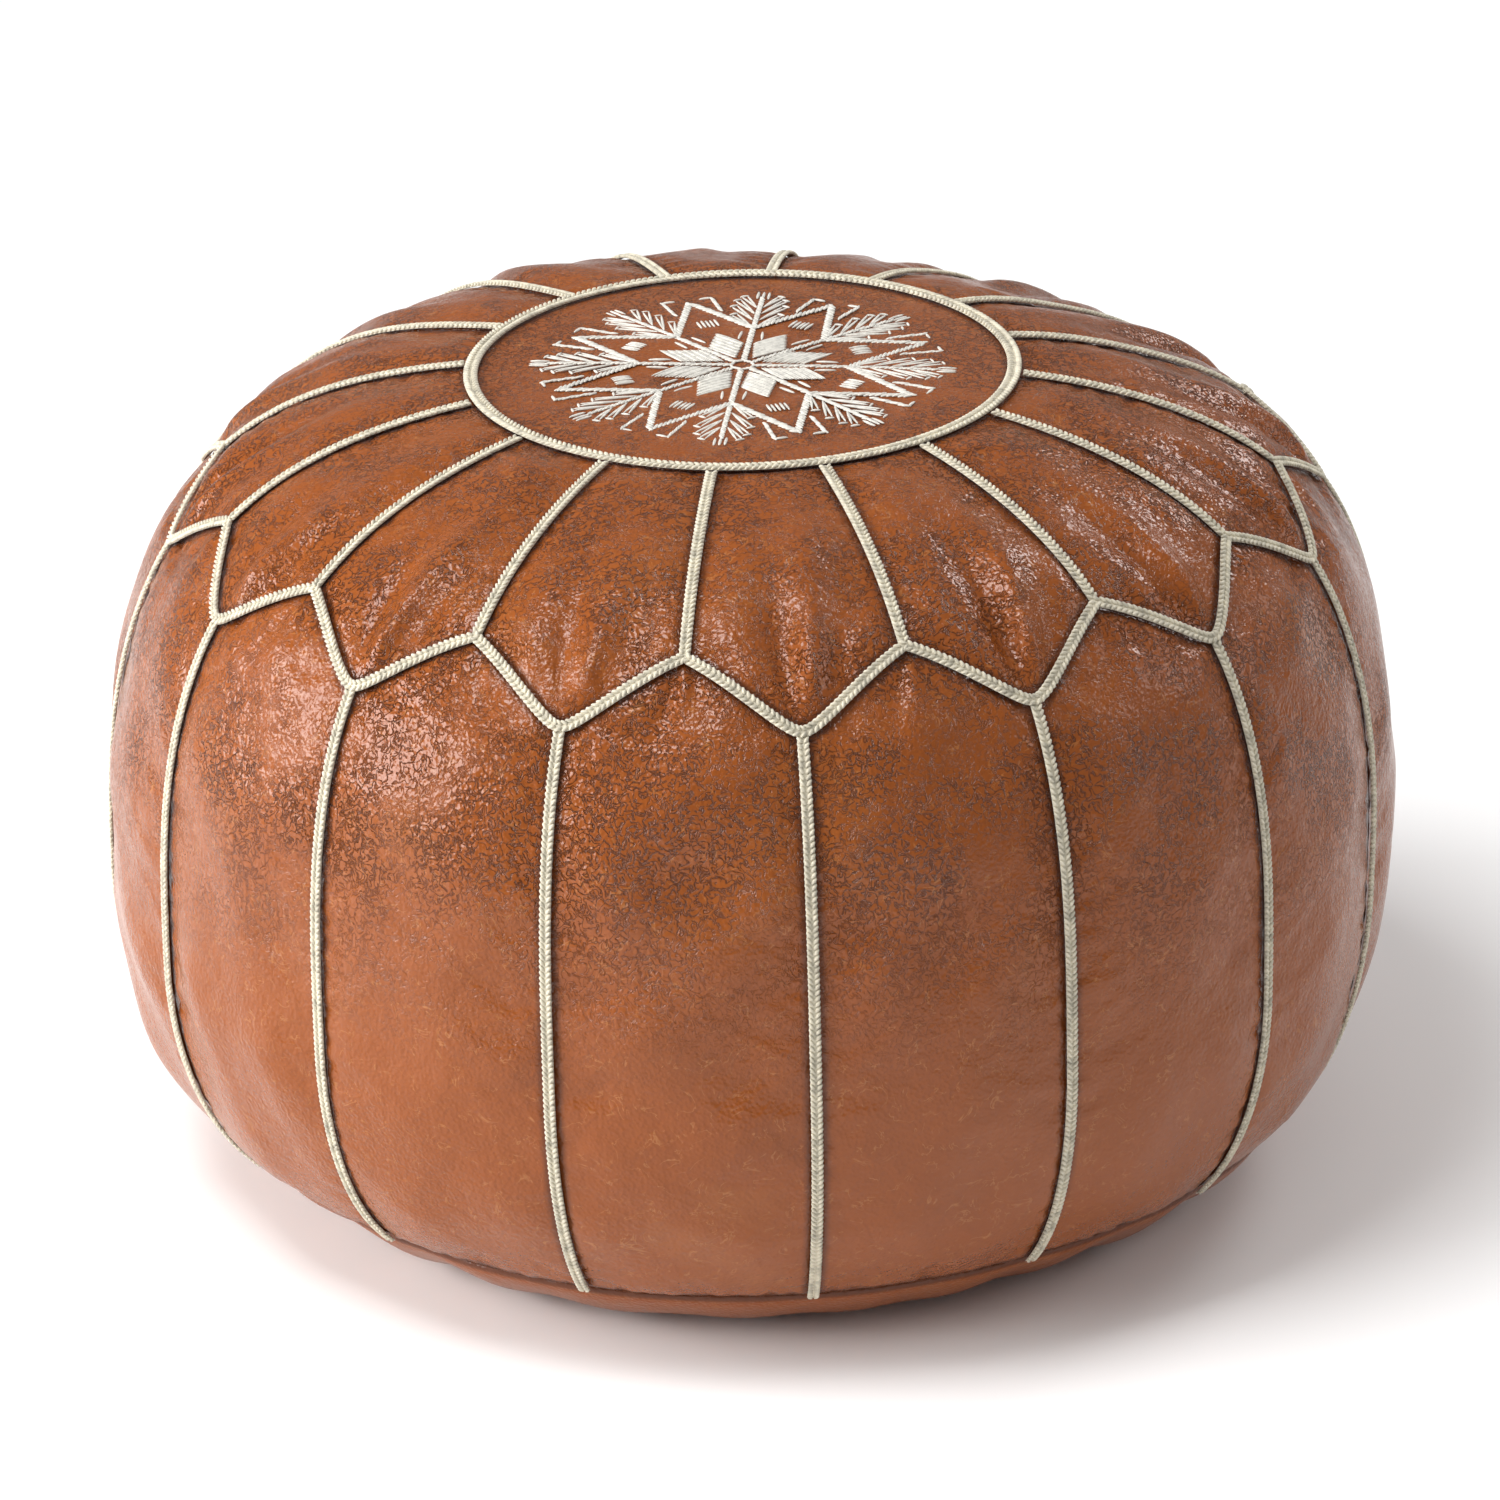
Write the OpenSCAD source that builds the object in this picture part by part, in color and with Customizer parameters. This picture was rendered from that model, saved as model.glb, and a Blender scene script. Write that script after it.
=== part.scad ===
// Moroccan leather pouf: sixteen petals and sixteen side panels round a medallion,
// braids over every seam, a two-part base with a zip, and a stuffed liner inside.
// Millimetres, +Z up, origin on the floor at the middle of the base.

/* [Cover] */
// Widest diameter of the leather cover, at its belly
body_d = 520; // [440:5:640]
// Height of the crown above the floor
body_h = 330; // [270:5:400]
// Height of the belly above the floor
belly_z = 127; // [105:1:150]
// How square the shoulder is: 2 is an ellipse, more is squarer
crown_power = 3.35; // [2.4:0.05:4]
// Thickness of the leather
leather_t = 2; // [1.4:0.1:2.6]
// Gap between two leather edges at a seam
seam_gap = 0.4; // [0.2:0.1:0.8]

/* [Panels] */
// Number of petals, and of side panels
panel_count = 16; // [12:2:20]
// Diameter of the medallion's seam
medallion_d = 216; // [160:2:240]
// How far the petals' upper corners lie inside the belly
peak_inset = 48; // [42:1:60]
// How far the petals' tips lie inside the belly
tip_inset = 27; // [20:1:32]
// How far the base seam lies inside the belly
base_seam_inset = 34; // [25:1:60]

/* [Braid] */
// Width of the braid over the radial, zigzag and side seams
braid_w = 5.5; // [4:0.5:7]
// Width of the braid round the medallion
ring_braid_w = 6.5; // [5:0.5:9]
// Height of a braid above the leather
braid_t = 2.8; // [2:0.1:4]
// Space between a braid and the leather or another braid
braid_clear = 0.1; // [0.05:0.05:0.3]

/* [Embroidery] */
// Space between the star's points and the medallion's seam
star_inset = 32; // [20:1:50]
// Radius of the star's inner corners
star_inner_r = 42; // [34:1:50]
// Space between the leaves' ends and the medallion's seam
leaf_inset = 24; // [12:1:40]
// Width of an embroidered line
thread_w = 2.4; // [1.2:0.1:3]
// Height of the silk above the leather
thread_t = 0.9; // [0.4:0.1:1.5]

/* [Base] */
// How far the foot's outer edge lies inside the belly
foot_inset = 92; // [80:1:110]
// Width of the flat ring that touches the floor
foot_band = 18; // [12:1:30]
// Width of the slope from the foot up to the zip's recess
ramp_w = 10; // [8:1:16]
// Depth of the recess that keeps the zip off the floor
recess_h = 11; // [10.5:0.5:16]
// Space between the zip's tapes and the recess's edge
zip_margin = 24; // [20:1:40]

/* [Zip] */
// Width of each tape
tape_w = 16; // [12:1:22]
// Thickness of each tape
tape_t = 0.8; // [0.5:0.1:1.2]
// Distance between two coils of the chain
coil_pitch = 2; // [1.8:0.1:3]
// Radius of one coil
coil_r = 0.85; // [0.6:0.05:0.85]
// Reach of the chain on each side of the middle
chain_w = 3.2; // [2.5:0.1:4]
// Gap between the two halves of the chain
chain_gap = 1; // [0.9:0.1:1.4]
// Length of each stop
stop_l = 3; // [2:0.5:5]
// Length of the slider
slider_l = 11; // [9:0.5:14]
// Thickness of the slider's plates
slider_t = 1.2; // [0.8:0.1:1.4]
// Running clearance of the slider
slider_clear = 0.4; // [0.3:0.05:0.5]
// Length of the pull from its pin to its tip
pull_l = 26; // [18:1:32]
// Thickness of the pull
pull_t = 1.4; // [1:0.1:1.8]
// Radius of the pull's pin
pin_r = 0.75; // [0.6:0.05:0.9]
// Radial play of the pin in the slider's bail
pin_play = 0.4; // [0.2:0.05:0.5]

/* [Inside] */
// Space between the leather and the liner
liner_gap = 4; // [0.3:0.1:6]
// Thickness of the liner's cotton
liner_t = 1; // [0.6:0.1:2]
// Space between the liner and its filling
filling_gap = 0.3; // [0.2:0.1:1]
// Height of the liner's side band above and below the belly
liner_band_h = 70; // [40:1:80]

/* [Hidden] */
function two_digits(i) = i < 10 ? str("0", i) : str(i);
PETALS = [for (i = [1:panel_count]) str("petal_", two_digits(i))];
SIDES = [for (i = [1:panel_count]) str("side_panel_", two_digits(i))];

$fn = 96;
LEATHER = "#a5602f";
BRAID = "#ddd6c0";
SILK = "#eeebe2";
TAPE = "#5a3a24";
BRASS = "#8a6a3a";
COTTON = "#e9e2d0";

body_r = body_d / 2;
crown_h = body_h - belly_z;
peak_r = body_r - peak_inset;
tip_r = body_r - tip_inset;
base_seam_r = body_r - base_seam_inset;
foot_r = body_r - foot_inset;
foot_in = foot_r - foot_band;
recess_r = foot_in - ramp_w;
medallion_r = medallion_d / 2;
pitch = 360 / panel_count;

// ---- Profile of the cover ------------------------------------------------------
// A place on the profile is an angle: 0 at the belly, 90 at the crown, -90 at the foot.
function crown_at(r) = acos(pow(r / body_r, crown_power / 2));
function wall_at(r) = -acos((r - foot_r) / foot_inset);

function crown_point(a) = [body_r * pow(max(cos(a), 0), 2 / crown_power),
                           belly_z + crown_h * pow(max(sin(a), 0), 2 / crown_power)];
function wall_point(a) = [foot_r + foot_inset * cos(a), belly_z * (1 + sin(a))];

function crown_normal(p) = [pow(p.x / body_r, crown_power - 1) / body_r,
                            pow((p.y - belly_z) / crown_h, crown_power - 1) / crown_h];
function wall_normal(p) = [(p.x - foot_r) / pow(foot_inset, 2), (p.y - belly_z) / pow(belly_z, 2)];

// The point of the profile at angle a, moved in by depth.
function skin(a, depth = 0) =
    let (p = a > 0 ? crown_point(a) : wall_point(a),
         n = a > 0 ? crown_normal(p) : wall_normal(p))
    p - depth * n / norm(n);

// Every piece takes its outline from the same points, so pieces that lie on each other match.
skin_step = 3.5;
function skin_line(from, to, depth) = concat(
    [skin(from, depth)],
    [for (k = [floor(from / skin_step) + 1:ceil(to / skin_step) - 1]) skin(k * skin_step, depth)],
    [skin(to, depth)]);

function reversed(points) = [for (i = [len(points) - 1:-1:0]) points[i]];

ring_a = crown_at(medallion_r);
peak_a = crown_at(peak_r);
tip_a = crown_at(tip_r);
base_a = wall_at(base_seam_r);
medallion_z = skin(ring_a).y;

// Outline of a skin between two angles and two depths.
module skin_outline(from, to, outer, inner) {
    polygon(concat(skin_line(from, to, outer), reversed(skin_line(from, to, inner))));
}

// The same skin turned through one panel, centred on the angle at.
module skin_sector(at, from, to, outer, inner, width = pitch) {
    rotate(at - 90 - width / 2)
        rotate_extrude(angle = width)
            skin_outline(from, to, outer, inner);
}

// Half of a seam's gap, as an angle at the belly.
seam_angle = seam_gap / body_r * 180 / PI;
function petal_at(i) = (i + 0.5) * pitch;
function side_at(i) = i * pitch;

// ---- Zigzag between petals and side panels ----------------------------------------
// Each petal's point is a V, cut square to the shoulder.
zigzag_mid = (skin(peak_a) + skin(tip_a)) / 2;
shoulder_n = crown_normal(skin((peak_a + tip_a) / 2));
shoulder_tilt = atan2(shoulder_n.x, shoulder_n.y);
up_slope = [-cos(shoulder_tilt), sin(shoulder_tilt)];
function on_slope(p) = (p - zigzag_mid) * up_slope;

corner = [peak_r * sin(pitch / 2),
          on_slope([peak_r * cos(pitch / 2), skin(peak_a).y])];
tip = [0, on_slope(skin(tip_a))];
edge = corner - tip;
edge_n = [edge.y, -edge.x] / norm(edge);
cutter_h = body_h;
reach = body_r / edge.y;

// Places a drawing on the shoulder, with its X level and its Y up the slope.
module on_shoulder(at) {
    rotate(at)
        translate([0, -zigzag_mid.x, zigzag_mid.y])
            rotate([shoulder_tilt, 0, 0])
                translate([0, 0, -cutter_h / 2])
                    linear_extrude(cutter_h)
                        children();
}

// The V's inside, grown by an offset that is measured square to its edges.
module petal_point(grow) {
    drop = grow * norm(edge) / edge.x;
    foot = tip - [0, drop];
    polygon([foot, foot + edge * reach, foot + [-edge.x, edge.y] * reach]);
}

// A band of the braid's width along both of the V's edges.
module petal_edge_band() {
    difference() {
        petal_point(braid_w / 2);
        petal_point(-braid_w / 2);
    }
}

// ---- Leather -------------------------------------------------------------------
module medallion() {
    color(LEATHER)
        translate([0, 0, medallion_z - leather_t])
            cylinder(h = leather_t, r = medallion_r - seam_gap / 2);
}

module petal(i) {
    inner_a = crown_at(medallion_r + seam_gap / 2);
    color(LEATHER)
        intersection() {
            skin_sector(petal_at(i), tip_a, inner_a, 0, leather_t, pitch - seam_angle);
            on_shoulder(petal_at(i)) petal_point(0);
        }
}

module side_panel(i) {
    top_a = peak_a + 2;
    lower_a = base_a + seam_angle;
    color(LEATHER)
        difference() {
            skin_sector(side_at(i), lower_a, top_a, 0, leather_t, pitch - seam_angle);
            on_shoulder(petal_at(i - 1)) petal_point(seam_gap);
            on_shoulder(petal_at(i)) petal_point(seam_gap);
        }
}

// The base is a rim that curls under to the foot and up to a recess, and a panel with the zip.
fold_dx = leather_t * tan(atan2(recess_h, ramp_w) / 2);
function rim_line(depth) =
    let (dx = fold_dx * depth / leather_t)
    concat(reversed(skin_line(-90, base_a, depth)),
           [[foot_in + dx, depth], [recess_r + dx, recess_h + depth]]);

tape_half_l = recess_r - zip_margin;
chain_half_l = tape_half_l - 2 * stop_l - slider_l / 2;
stop_x = chain_half_l + slider_clear;
slider_half_w = chain_w + slider_clear + slider_t;
slot_half_w = slider_half_w + 2 * slider_clear;
slot_half_l = stop_x + stop_l + slider_clear;

// The front half, at side -1, or the back half, at side 1.
module base_side(side) {
    intersection() {
        children();
        translate([-body_r, side > 0 ? seam_gap / 2 : -body_r - seam_gap / 2, -1])
            cube([body_d, body_r, belly_z]);
    }
}

module base_rim(side) {
    color(LEATHER)
        base_side(side)
            rotate_extrude()
                polygon(concat(rim_line(0), [[recess_r, recess_h + leather_t]],
                               reversed(rim_line(leather_t))));
}

module base_panel(side) {
    color(LEATHER)
        difference() {
            base_side(side)
                translate([0, 0, recess_h])
                    cylinder(h = leather_t, r = recess_r - seam_gap);
            translate([-slot_half_l, -slot_half_w, recess_h - 1])
                cube([2 * slot_half_l, 2 * slot_half_w, leather_t + 2]);
        }
}

// ---- Braids ----------------------------------------------------------------------
module medallion_braid() {
    w = ring_braid_w / 2;
    low = medallion_z + braid_clear;
    high = medallion_z + braid_t;
    bevel = braid_t / 4;
    color(BRAID)
        rotate_extrude()
            polygon([[medallion_r - w, low], [medallion_r + w, low],
                     [medallion_r + w, high - bevel], [medallion_r + w - bevel, high],
                     [medallion_r - w + bevel, high], [medallion_r - w, high - bevel]]);
}

// A straight strip of braid that follows the skin from one angle to another.
module seam_strip(at, from, to) {
    intersection() {
        skin_sector(at, from, to, -braid_t, -braid_clear);
        rotate(at)
            translate([-braid_w / 2, -body_r - braid_t - 1, -1])
                cube([braid_w, body_r, body_h + 2 * braid_t + 2]);
    }
}

module petal_seam_braids() {
    color(BRAID)
        for (i = [0:panel_count - 1])
            difference() {
                intersection() {
                    seam_strip(side_at(i), tip_a, ring_a);
                    union() {
                        on_shoulder(petal_at(i - 1)) petal_point(-braid_w / 2 - braid_clear);
                        on_shoulder(petal_at(i)) petal_point(-braid_w / 2 - braid_clear);
                    }
                }
                cylinder(h = 2 * body_h, r = medallion_r + ring_braid_w / 2 + braid_clear);
            }
}

module zigzag_braid() {
    color(BRAID)
        for (i = [0:panel_count - 1])
            intersection() {
                skin_sector(petal_at(i), tip_a - 12, peak_a + 6, -braid_t, -braid_clear,
                            pitch - seam_angle);
                on_shoulder(petal_at(i)) petal_edge_band();
            }
}

module side_seam_braids() {
    lower_a = base_a + seam_angle;
    color(BRAID)
        for (i = [0:panel_count - 1])
            difference() {
                seam_strip(petal_at(i), lower_a, tip_a);
                on_shoulder(petal_at(i)) petal_point(braid_w / 2 + braid_clear);
            }
}

// ---- Embroidery: an eight-pointed star with leaves --------------------------------
star_points = 8;
star_r = medallion_r - star_inset;
leaf_r = medallion_r - leaf_inset;
function polar(r, a) = [r * cos(a), r * sin(a)];

module stroke(from, to) {
    d = (to - from) / norm(to - from);
    n = [-d.y, d.x] * thread_w / 2;
    polygon([from + n, from - n, to - n, to + n]);
}

// The star's outline has its points between the leaves.
star_corner = polar(star_inner_r, 180 / star_points);
star_edge = star_corner - [star_r, 0];
star_edge_r = star_r * star_corner.y / norm(star_edge);

module star(grow) {
    k = 1 + grow / star_edge_r;
    turn = 360 / star_points;
    polygon([for (i = [0:star_points - 1], tip = [0, 1])
        k * polar(tip ? star_r : star_inner_r, (i + tip / 2) * turn)]);
}

// A leaf is a stem with pairs of barbs that stop short of it.
module leaf(a) {
    stem_gap = 1.3 * thread_w;
    barb = [9, 13];
    stroke(polar(star_inner_r + stem_gap, a), polar(leaf_r, a));
    for (r = [star_inner_r + 10:9:leaf_r - 12], side = [-1, 1]) {
        root = polar(r, a) + polar(stem_gap, a + 90 * side);
        stroke(root, polar(r + barb.x, a) + polar(barb.y, a + 90 * side));
    }
}

module diamond(a, from, to, half_w) {
    mid = polar((from + to) / 2, a);
    across = polar(half_w, a + 90);
    polygon([polar(from, a), mid + across, polar(to, a), mid - across]);
}

module star_embroidery() {
    turn = 360 / star_points;
    color(SILK)
        translate([0, 0, medallion_z + braid_clear / 2])
            linear_extrude(thread_t) {
                difference() {
                    star(thread_w / 2);
                    star(-thread_w / 2);
                }
                for (k = [0:star_points - 1]) {
                    leaf(k * turn);
                    diamond((k + 0.5) * turn, 10, star_inner_r - 8, 8);
                    diamond((k + 0.5) * turn, star_inner_r + 6, star_inner_r + 16, 4);
                }
            }
}

// ---- Zip -------------------------------------------------------------------------
tape_z = recess_h + leather_t + braid_clear / 2;
coil_z = tape_z - coil_r - braid_clear / 4;
coil_count = floor(2 * chain_half_l / coil_pitch);
slider_x = -chain_half_l + slider_l / 2;

module zip_tape(side) {
    y = side > 0 ? chain_gap / 2 : -tape_w;
    color(TAPE)
        translate([-tape_half_l, y, tape_z])
            cube([2 * tape_half_l, tape_w - chain_gap / 2, tape_t]);
}

module zip_coil(side) {
    from = side > 0 ? chain_gap / 2 : -chain_w;
    color(TAPE)
        for (k = [0:coil_count - 1])
            translate([(k - (coil_count - 1) / 2) * coil_pitch, from, coil_z])
                rotate([-90, 0, 0])
                    cylinder(h = chain_w - chain_gap / 2, r = coil_r, $fn = 24);
}

// The stops reach lower than the chain, into the way of the slider's plate.
stop_drop = 2 * slider_clear;
stop_h = 2 * coil_r + stop_drop;

module zip_top_stops() {
    color(BRASS)
        for (side = [-1, 1])
            translate([-stop_x - stop_l, side > 0 ? chain_gap / 2 : -chain_w, coil_z - coil_r - stop_drop])
                cube([stop_l, chain_w - chain_gap / 2, stop_h]);
}

module zip_bottom_stop() {
    color(BRASS)
        translate([stop_x, -chain_w, coil_z - coil_r - stop_drop])
            cube([stop_l, 2 * chain_w, stop_h]);
}

// The slider's plates lie below and above the chain, joined by a thin post in the chain's gap.
lower_plate_top = coil_z - coil_r - slider_clear;
upper_plate_low = tape_z + tape_t + slider_clear;
pivot_z = lower_plate_top - slider_t - pin_r - pin_play - 0.65;
bail_r = pin_r + pin_play + 0.9;
bail_t = 1.6;

module slider_plan() {
    nose = slider_half_w;
    tail = slider_half_w - 0.8;
    half = slider_l / 2;
    polygon([[-half, -nose + 1.5], [-half + 1.5, -nose], [half, -tail],
             [half, tail], [-half + 1.5, nose], [-half, nose - 1.5]]);
}

module zip_slider() {
    post_t = chain_gap - slider_clear;
    flange_h = tape_z - slider_clear * 0.75 - lower_plate_top;
    color(BRASS)
        translate([slider_x, 0, 0])
            difference() {
                union() {
                    translate([0, 0, lower_plate_top - slider_t]) linear_extrude(slider_t) slider_plan();
                    translate([0, 0, upper_plate_low]) linear_extrude(slider_t) slider_plan();
                    translate([-slider_l / 2, -post_t / 2, lower_plate_top - slider_t / 2])
                        cube([slider_l / 2, post_t, upper_plate_low - lower_plate_top + slider_t]);
                    for (side = [-1, 1])
                        translate([-slider_l / 2 + 2, side > 0 ? chain_w + slider_clear : -slider_half_w + 0.4,
                                   lower_plate_top - slider_t / 2])
                            cube([slider_l - 4, slider_t - 0.4, flange_h + slider_t / 2]);
                    translate([0, bail_t / 2, pivot_z]) rotate([90, 0, 0]) cylinder(h = bail_t, r = bail_r);
                    translate([-bail_r, -bail_t / 2, pivot_z])
                        cube([2 * bail_r, bail_t, lower_plate_top - slider_t / 2 - pivot_z]);
                }
                translate([0, bail_t, pivot_z])
                    rotate([90, 0, 0])
                        cylinder(h = 2 * bail_t, r = pin_r + pin_play);
            }
}

// The pull hangs from its pin and rests with its tip just above the floor.
floor_clear = 0.3;
pull_rest = asin((pivot_z - pull_t / 2 - floor_clear) / pull_l);
arm_in = bail_t / 2 + slider_clear;
arm_w = 1.2;
pull_half_w = arm_in + arm_w;
eye_l = bail_r + slider_clear + 1.2;

module zip_pull() {
    hole_r = 1.5;
    color(BRASS)
        translate([slider_x, 0, pivot_z])
            rotate([0, pull_rest, 0]) {
                translate([0, pull_half_w, 0]) rotate([90, 0, 0]) cylinder(h = 2 * pull_half_w, r = pin_r);
                for (side = [-1, 1])
                    translate([0, side > 0 ? arm_in : -pull_half_w, -pull_t / 2])
                        cube([eye_l + 0.5, arm_w, pull_t]);
                difference() {
                    translate([eye_l, -pull_half_w, -pull_t / 2])
                        cube([pull_l - eye_l, 2 * pull_half_w, pull_t]);
                    translate([pull_l - 3, 0, -pull_t])
                        cylinder(h = 2 * pull_t, r = hole_r, $fn = 32);
                }
            }
}

// ---- Inside: a cotton liner sewn from a top, a side band and a base, and its filling --------
liner_floor = upper_plate_low + slider_t + 1.5 * slider_clear;
liner_d = leather_t + liner_gap;
band_top_a = crown_at_z(belly_z + liner_band_h);
band_low_a = wall_at_z(belly_z - liner_band_h);
function crown_at_z(z) = asin(pow((z - belly_z) / crown_h, crown_power / 2));
function wall_at_z(z) = asin(z / belly_z - 1);

// The liner's underside: the foot, the ramp and the flat over the zip.
function under_line(depth) = concat(
    reversed(skin_line(-90, band_low_a, depth)),
    [[foot_in + fold_dx + depth, depth],
     [recess_r + fold_dx + depth, liner_floor + depth - liner_d],
     [0, liner_floor + depth - liner_d]]);

function over_line(depth) = concat(
    skin_line(band_top_a, ring_a, depth),
    [[0, medallion_z - depth]]);

module liner_top() {
    color(COTTON)
        rotate_extrude()
            polygon(concat(over_line(liner_d), reversed(over_line(liner_d + liner_t))));
}

module liner_side_band() {
    color(COTTON)
        rotate_extrude()
            skin_outline(band_low_a + seam_angle, band_top_a - seam_angle,
                         liner_d, liner_d + liner_t);
}

module liner_base() {
    color(COTTON)
        rotate_extrude()
            polygon(concat(under_line(liner_d), reversed(under_line(liner_d + liner_t))));
}

module filling() {
    d = liner_d + liner_t + filling_gap;
    color("ivory")
        rotate_extrude()
            polygon(concat(reversed(over_line(d)),
                           reversed(skin_line(band_low_a, band_top_a, d)),
                           under_line(d)));
}

medallion();
star_embroidery();
medallion_braid();
for (i = [0:panel_count - 1]) {
    petal(i);
    side_panel(i);
}
petal_seam_braids();
zigzag_braid();
side_seam_braids();
base_rim(-1);  // base_rim_front
base_rim(1);  // base_rim_back
base_panel(-1);  // base_panel_front
base_panel(1);  // base_panel_back
zip_tape(-1);  // zip_tape_front
zip_tape(1);  // zip_tape_back
zip_coil(-1);  // zip_coil_front
zip_coil(1);  // zip_coil_back
zip_top_stops();
zip_bottom_stop();
zip_slider();
zip_pull();
liner_top();
liner_side_band();
liner_base();
filling();
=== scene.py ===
"""Moroccan leather pouf: stitched leather panels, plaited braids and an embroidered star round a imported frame."""

import math

import bpy
import numpy as np
from mathutils import Matrix, Vector


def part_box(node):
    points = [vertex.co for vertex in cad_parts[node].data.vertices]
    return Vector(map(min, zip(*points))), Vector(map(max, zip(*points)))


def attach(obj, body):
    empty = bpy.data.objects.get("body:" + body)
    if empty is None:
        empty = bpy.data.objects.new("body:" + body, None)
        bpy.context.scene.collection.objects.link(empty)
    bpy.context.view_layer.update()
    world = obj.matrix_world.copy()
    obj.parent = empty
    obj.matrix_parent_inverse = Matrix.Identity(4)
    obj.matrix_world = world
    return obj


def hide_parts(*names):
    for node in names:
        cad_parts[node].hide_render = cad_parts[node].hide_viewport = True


bl_info = {
    "name": "Moroccan Leather Pouf",
    "version": (1, 0, 0),
    "blender": (4, 5, 0),
    "location": "View3D > Sidebar > Pouf",
    "description": "Builds a stuffed leather pouf with plaited seams, an embroidered star and a zip",
    "category": "Add Mesh",
}

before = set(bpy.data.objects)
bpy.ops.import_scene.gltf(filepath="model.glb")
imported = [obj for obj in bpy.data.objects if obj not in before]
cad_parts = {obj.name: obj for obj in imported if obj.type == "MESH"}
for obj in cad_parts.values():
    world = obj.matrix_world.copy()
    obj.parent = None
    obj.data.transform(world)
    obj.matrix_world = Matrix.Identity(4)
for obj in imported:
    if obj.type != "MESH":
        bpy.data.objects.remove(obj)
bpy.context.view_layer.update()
COVER = "cover"

# What the frame says about the pouf: its widest panel, the medallion's top, and the recess in the base.
BODY_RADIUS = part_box("side_panel_05")[1].x
MEDALLION_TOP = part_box("medallion")[1].z
RECESS_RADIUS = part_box("base_panel_back")[1].x + 0.0004
RECESS_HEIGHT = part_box("base_panel_back")[0].z


# ---- Sizes and colours ------------------------------------------------------------
def length(name, description, default, low=0.0):
    return bpy.props.FloatProperty(name=name, description=description, default=default, min=low, unit="LENGTH")


def number(name, description, default, low=0.0):
    return bpy.props.FloatProperty(name=name, description=description, default=default, min=low)


def angle(name, description, degrees):
    return bpy.props.FloatProperty(name=name, description=description, default=math.radians(degrees), subtype="ANGLE")


def colour(name, description, default):
    return bpy.props.StringProperty(name=name, description=description + ", as an sRGB hex value", default=default)


class PoufCover(bpy.types.PropertyGroup):
    panels: bpy.props.IntProperty(name="Panels", description="Petals round the cover", default=16, min=6)
    body_radius: length("Body radius", "Radius of the cover at its belly", BODY_RADIUS)
    crown_height: length("Crown height", "Height that the shoulder's curve would reach", 0.330)
    belly_height: length("Belly height", "Height of the widest place", 0.127)
    crown_power: number("Crown power", "How square the shoulder is", 3.35, 2.0)
    foot_radius: length("Foot radius", "Radius where the cover meets the floor", 0.168)
    medallion_radius: length("Medallion radius", "Radius of the medallion's seam", 0.108)
    peak_radius: length("Peak radius", "Radius of the petals' upper corners", 0.212)
    tip_radius: length("Tip radius", "Radius of the petals' tips", 0.233)
    base_seam_radius: length("Base seam radius", "Radius of the seam between side panels and base", 0.226)
    leather: length("Leather", "Thickness of the leather", 0.0018)
    seam_depth: length("Seam depth", "How far the stuffing pushes a panel's middle out past its seams", 0.0042)
    slack: number("Slack", "Spare length of the leather between its seams", 0.006)
    fold_depth: length("Fold depth", "Depth of the folds that run up from the petals' tips", 0.0040)
    lumps: length("Lumps", "How uneven the stuffing makes the panels", 0.0011)
    tan: colour("Tan", "Main colour of the leather", "#8e4916")
    dark_tan: colour("Dark tan", "Colour of the leather's darker clouds", "#783a15")
    pale_tan: colour("Pale tan", "Colour where the wax is rubbed or pulled thin", "#bb7f48")


class PoufBraid(bpy.types.PropertyGroup):
    width: length("Width", "Width of the plait over the panels' seams", 0.0050)
    ring_width: length("Ring width", "Width of the plait round the medallion", 0.0062)
    pitch: length("Pitch", "Distance from one strand to the next", 0.0023)
    cream: colour("Cream", "Colour of the plait's cotton", "#dad2bd")


class PoufEmbroidery(bpy.types.PropertyGroup):
    star_radius: length("Star radius", "Radius of the star's points", 0.076)
    inner_radius: length("Inner radius", "Radius of the star's inner corners", 0.042)
    leaf_radius: length("Leaf radius", "Radius of the leaves' ends", 0.084)
    silk: colour("Silk", "Colour of the thread", "#dedad0")


class PoufZip(bpy.types.PropertyGroup):
    tape: colour("Tape", "Colour of the woven tape", "#4f3322")
    coil: colour("Coil", "Colour of the moulded coil", "#3f2617")
    brass: colour("Brass", "Colour of the stops, slider and pull", "#a5814b")
    stitch: colour("Stitch", "Colour of the thread along the zip", "#d9cfb8")
    slot_length: length("Slot length", "Length of the opening over the zip", 0.2166)
    slot_width: length("Slot width", "Width of the opening over the zip", 0.0112)


class PoufStage(bpy.types.PropertyGroup):
    lens: number("Lens", "Focal length in millimetres", 188.0, 1.0)
    distance: length("Distance", "From the camera to the pouf's middle", 3.175)
    azimuth: angle("Azimuth", "Turn of the camera to the right of the front", 6.6)
    elevation: angle("Elevation", "Height of the camera above level", 23.6)
    roll: angle("Roll", "How far the camera leans over to its right", 1.4)
    floor: colour("Floor", "Colour of the floor", "#ffffff")


GROUPS = {
    "pouf_cover": PoufCover,
    "pouf_braid": PoufBraid,
    "pouf_embroidery": PoufEmbroidery,
    "pouf_zip": PoufZip,
    "pouf_stage": PoufStage,
}


def cover():
    """The cover's sizes and colours."""
    return bpy.context.scene.pouf_cover


# ---- Materials ---------------------------------------------------------------------
def linear(code):
    """An sRGB hex colour as linear RGBA."""
    values = [int(code[i : i + 2], 16) / 255 for i in (1, 3, 5)]
    return (*[v / 12.92 if v <= 0.04045 else ((v + 0.055) / 1.055) ** 2.4 for v in values], 1.0)


def new_material(name):
    """An empty node material with its Principled shader."""
    material = bpy.data.materials.new(name)
    material.use_nodes = True
    return material, material.node_tree, material.node_tree.nodes["Principled BSDF"]


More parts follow.
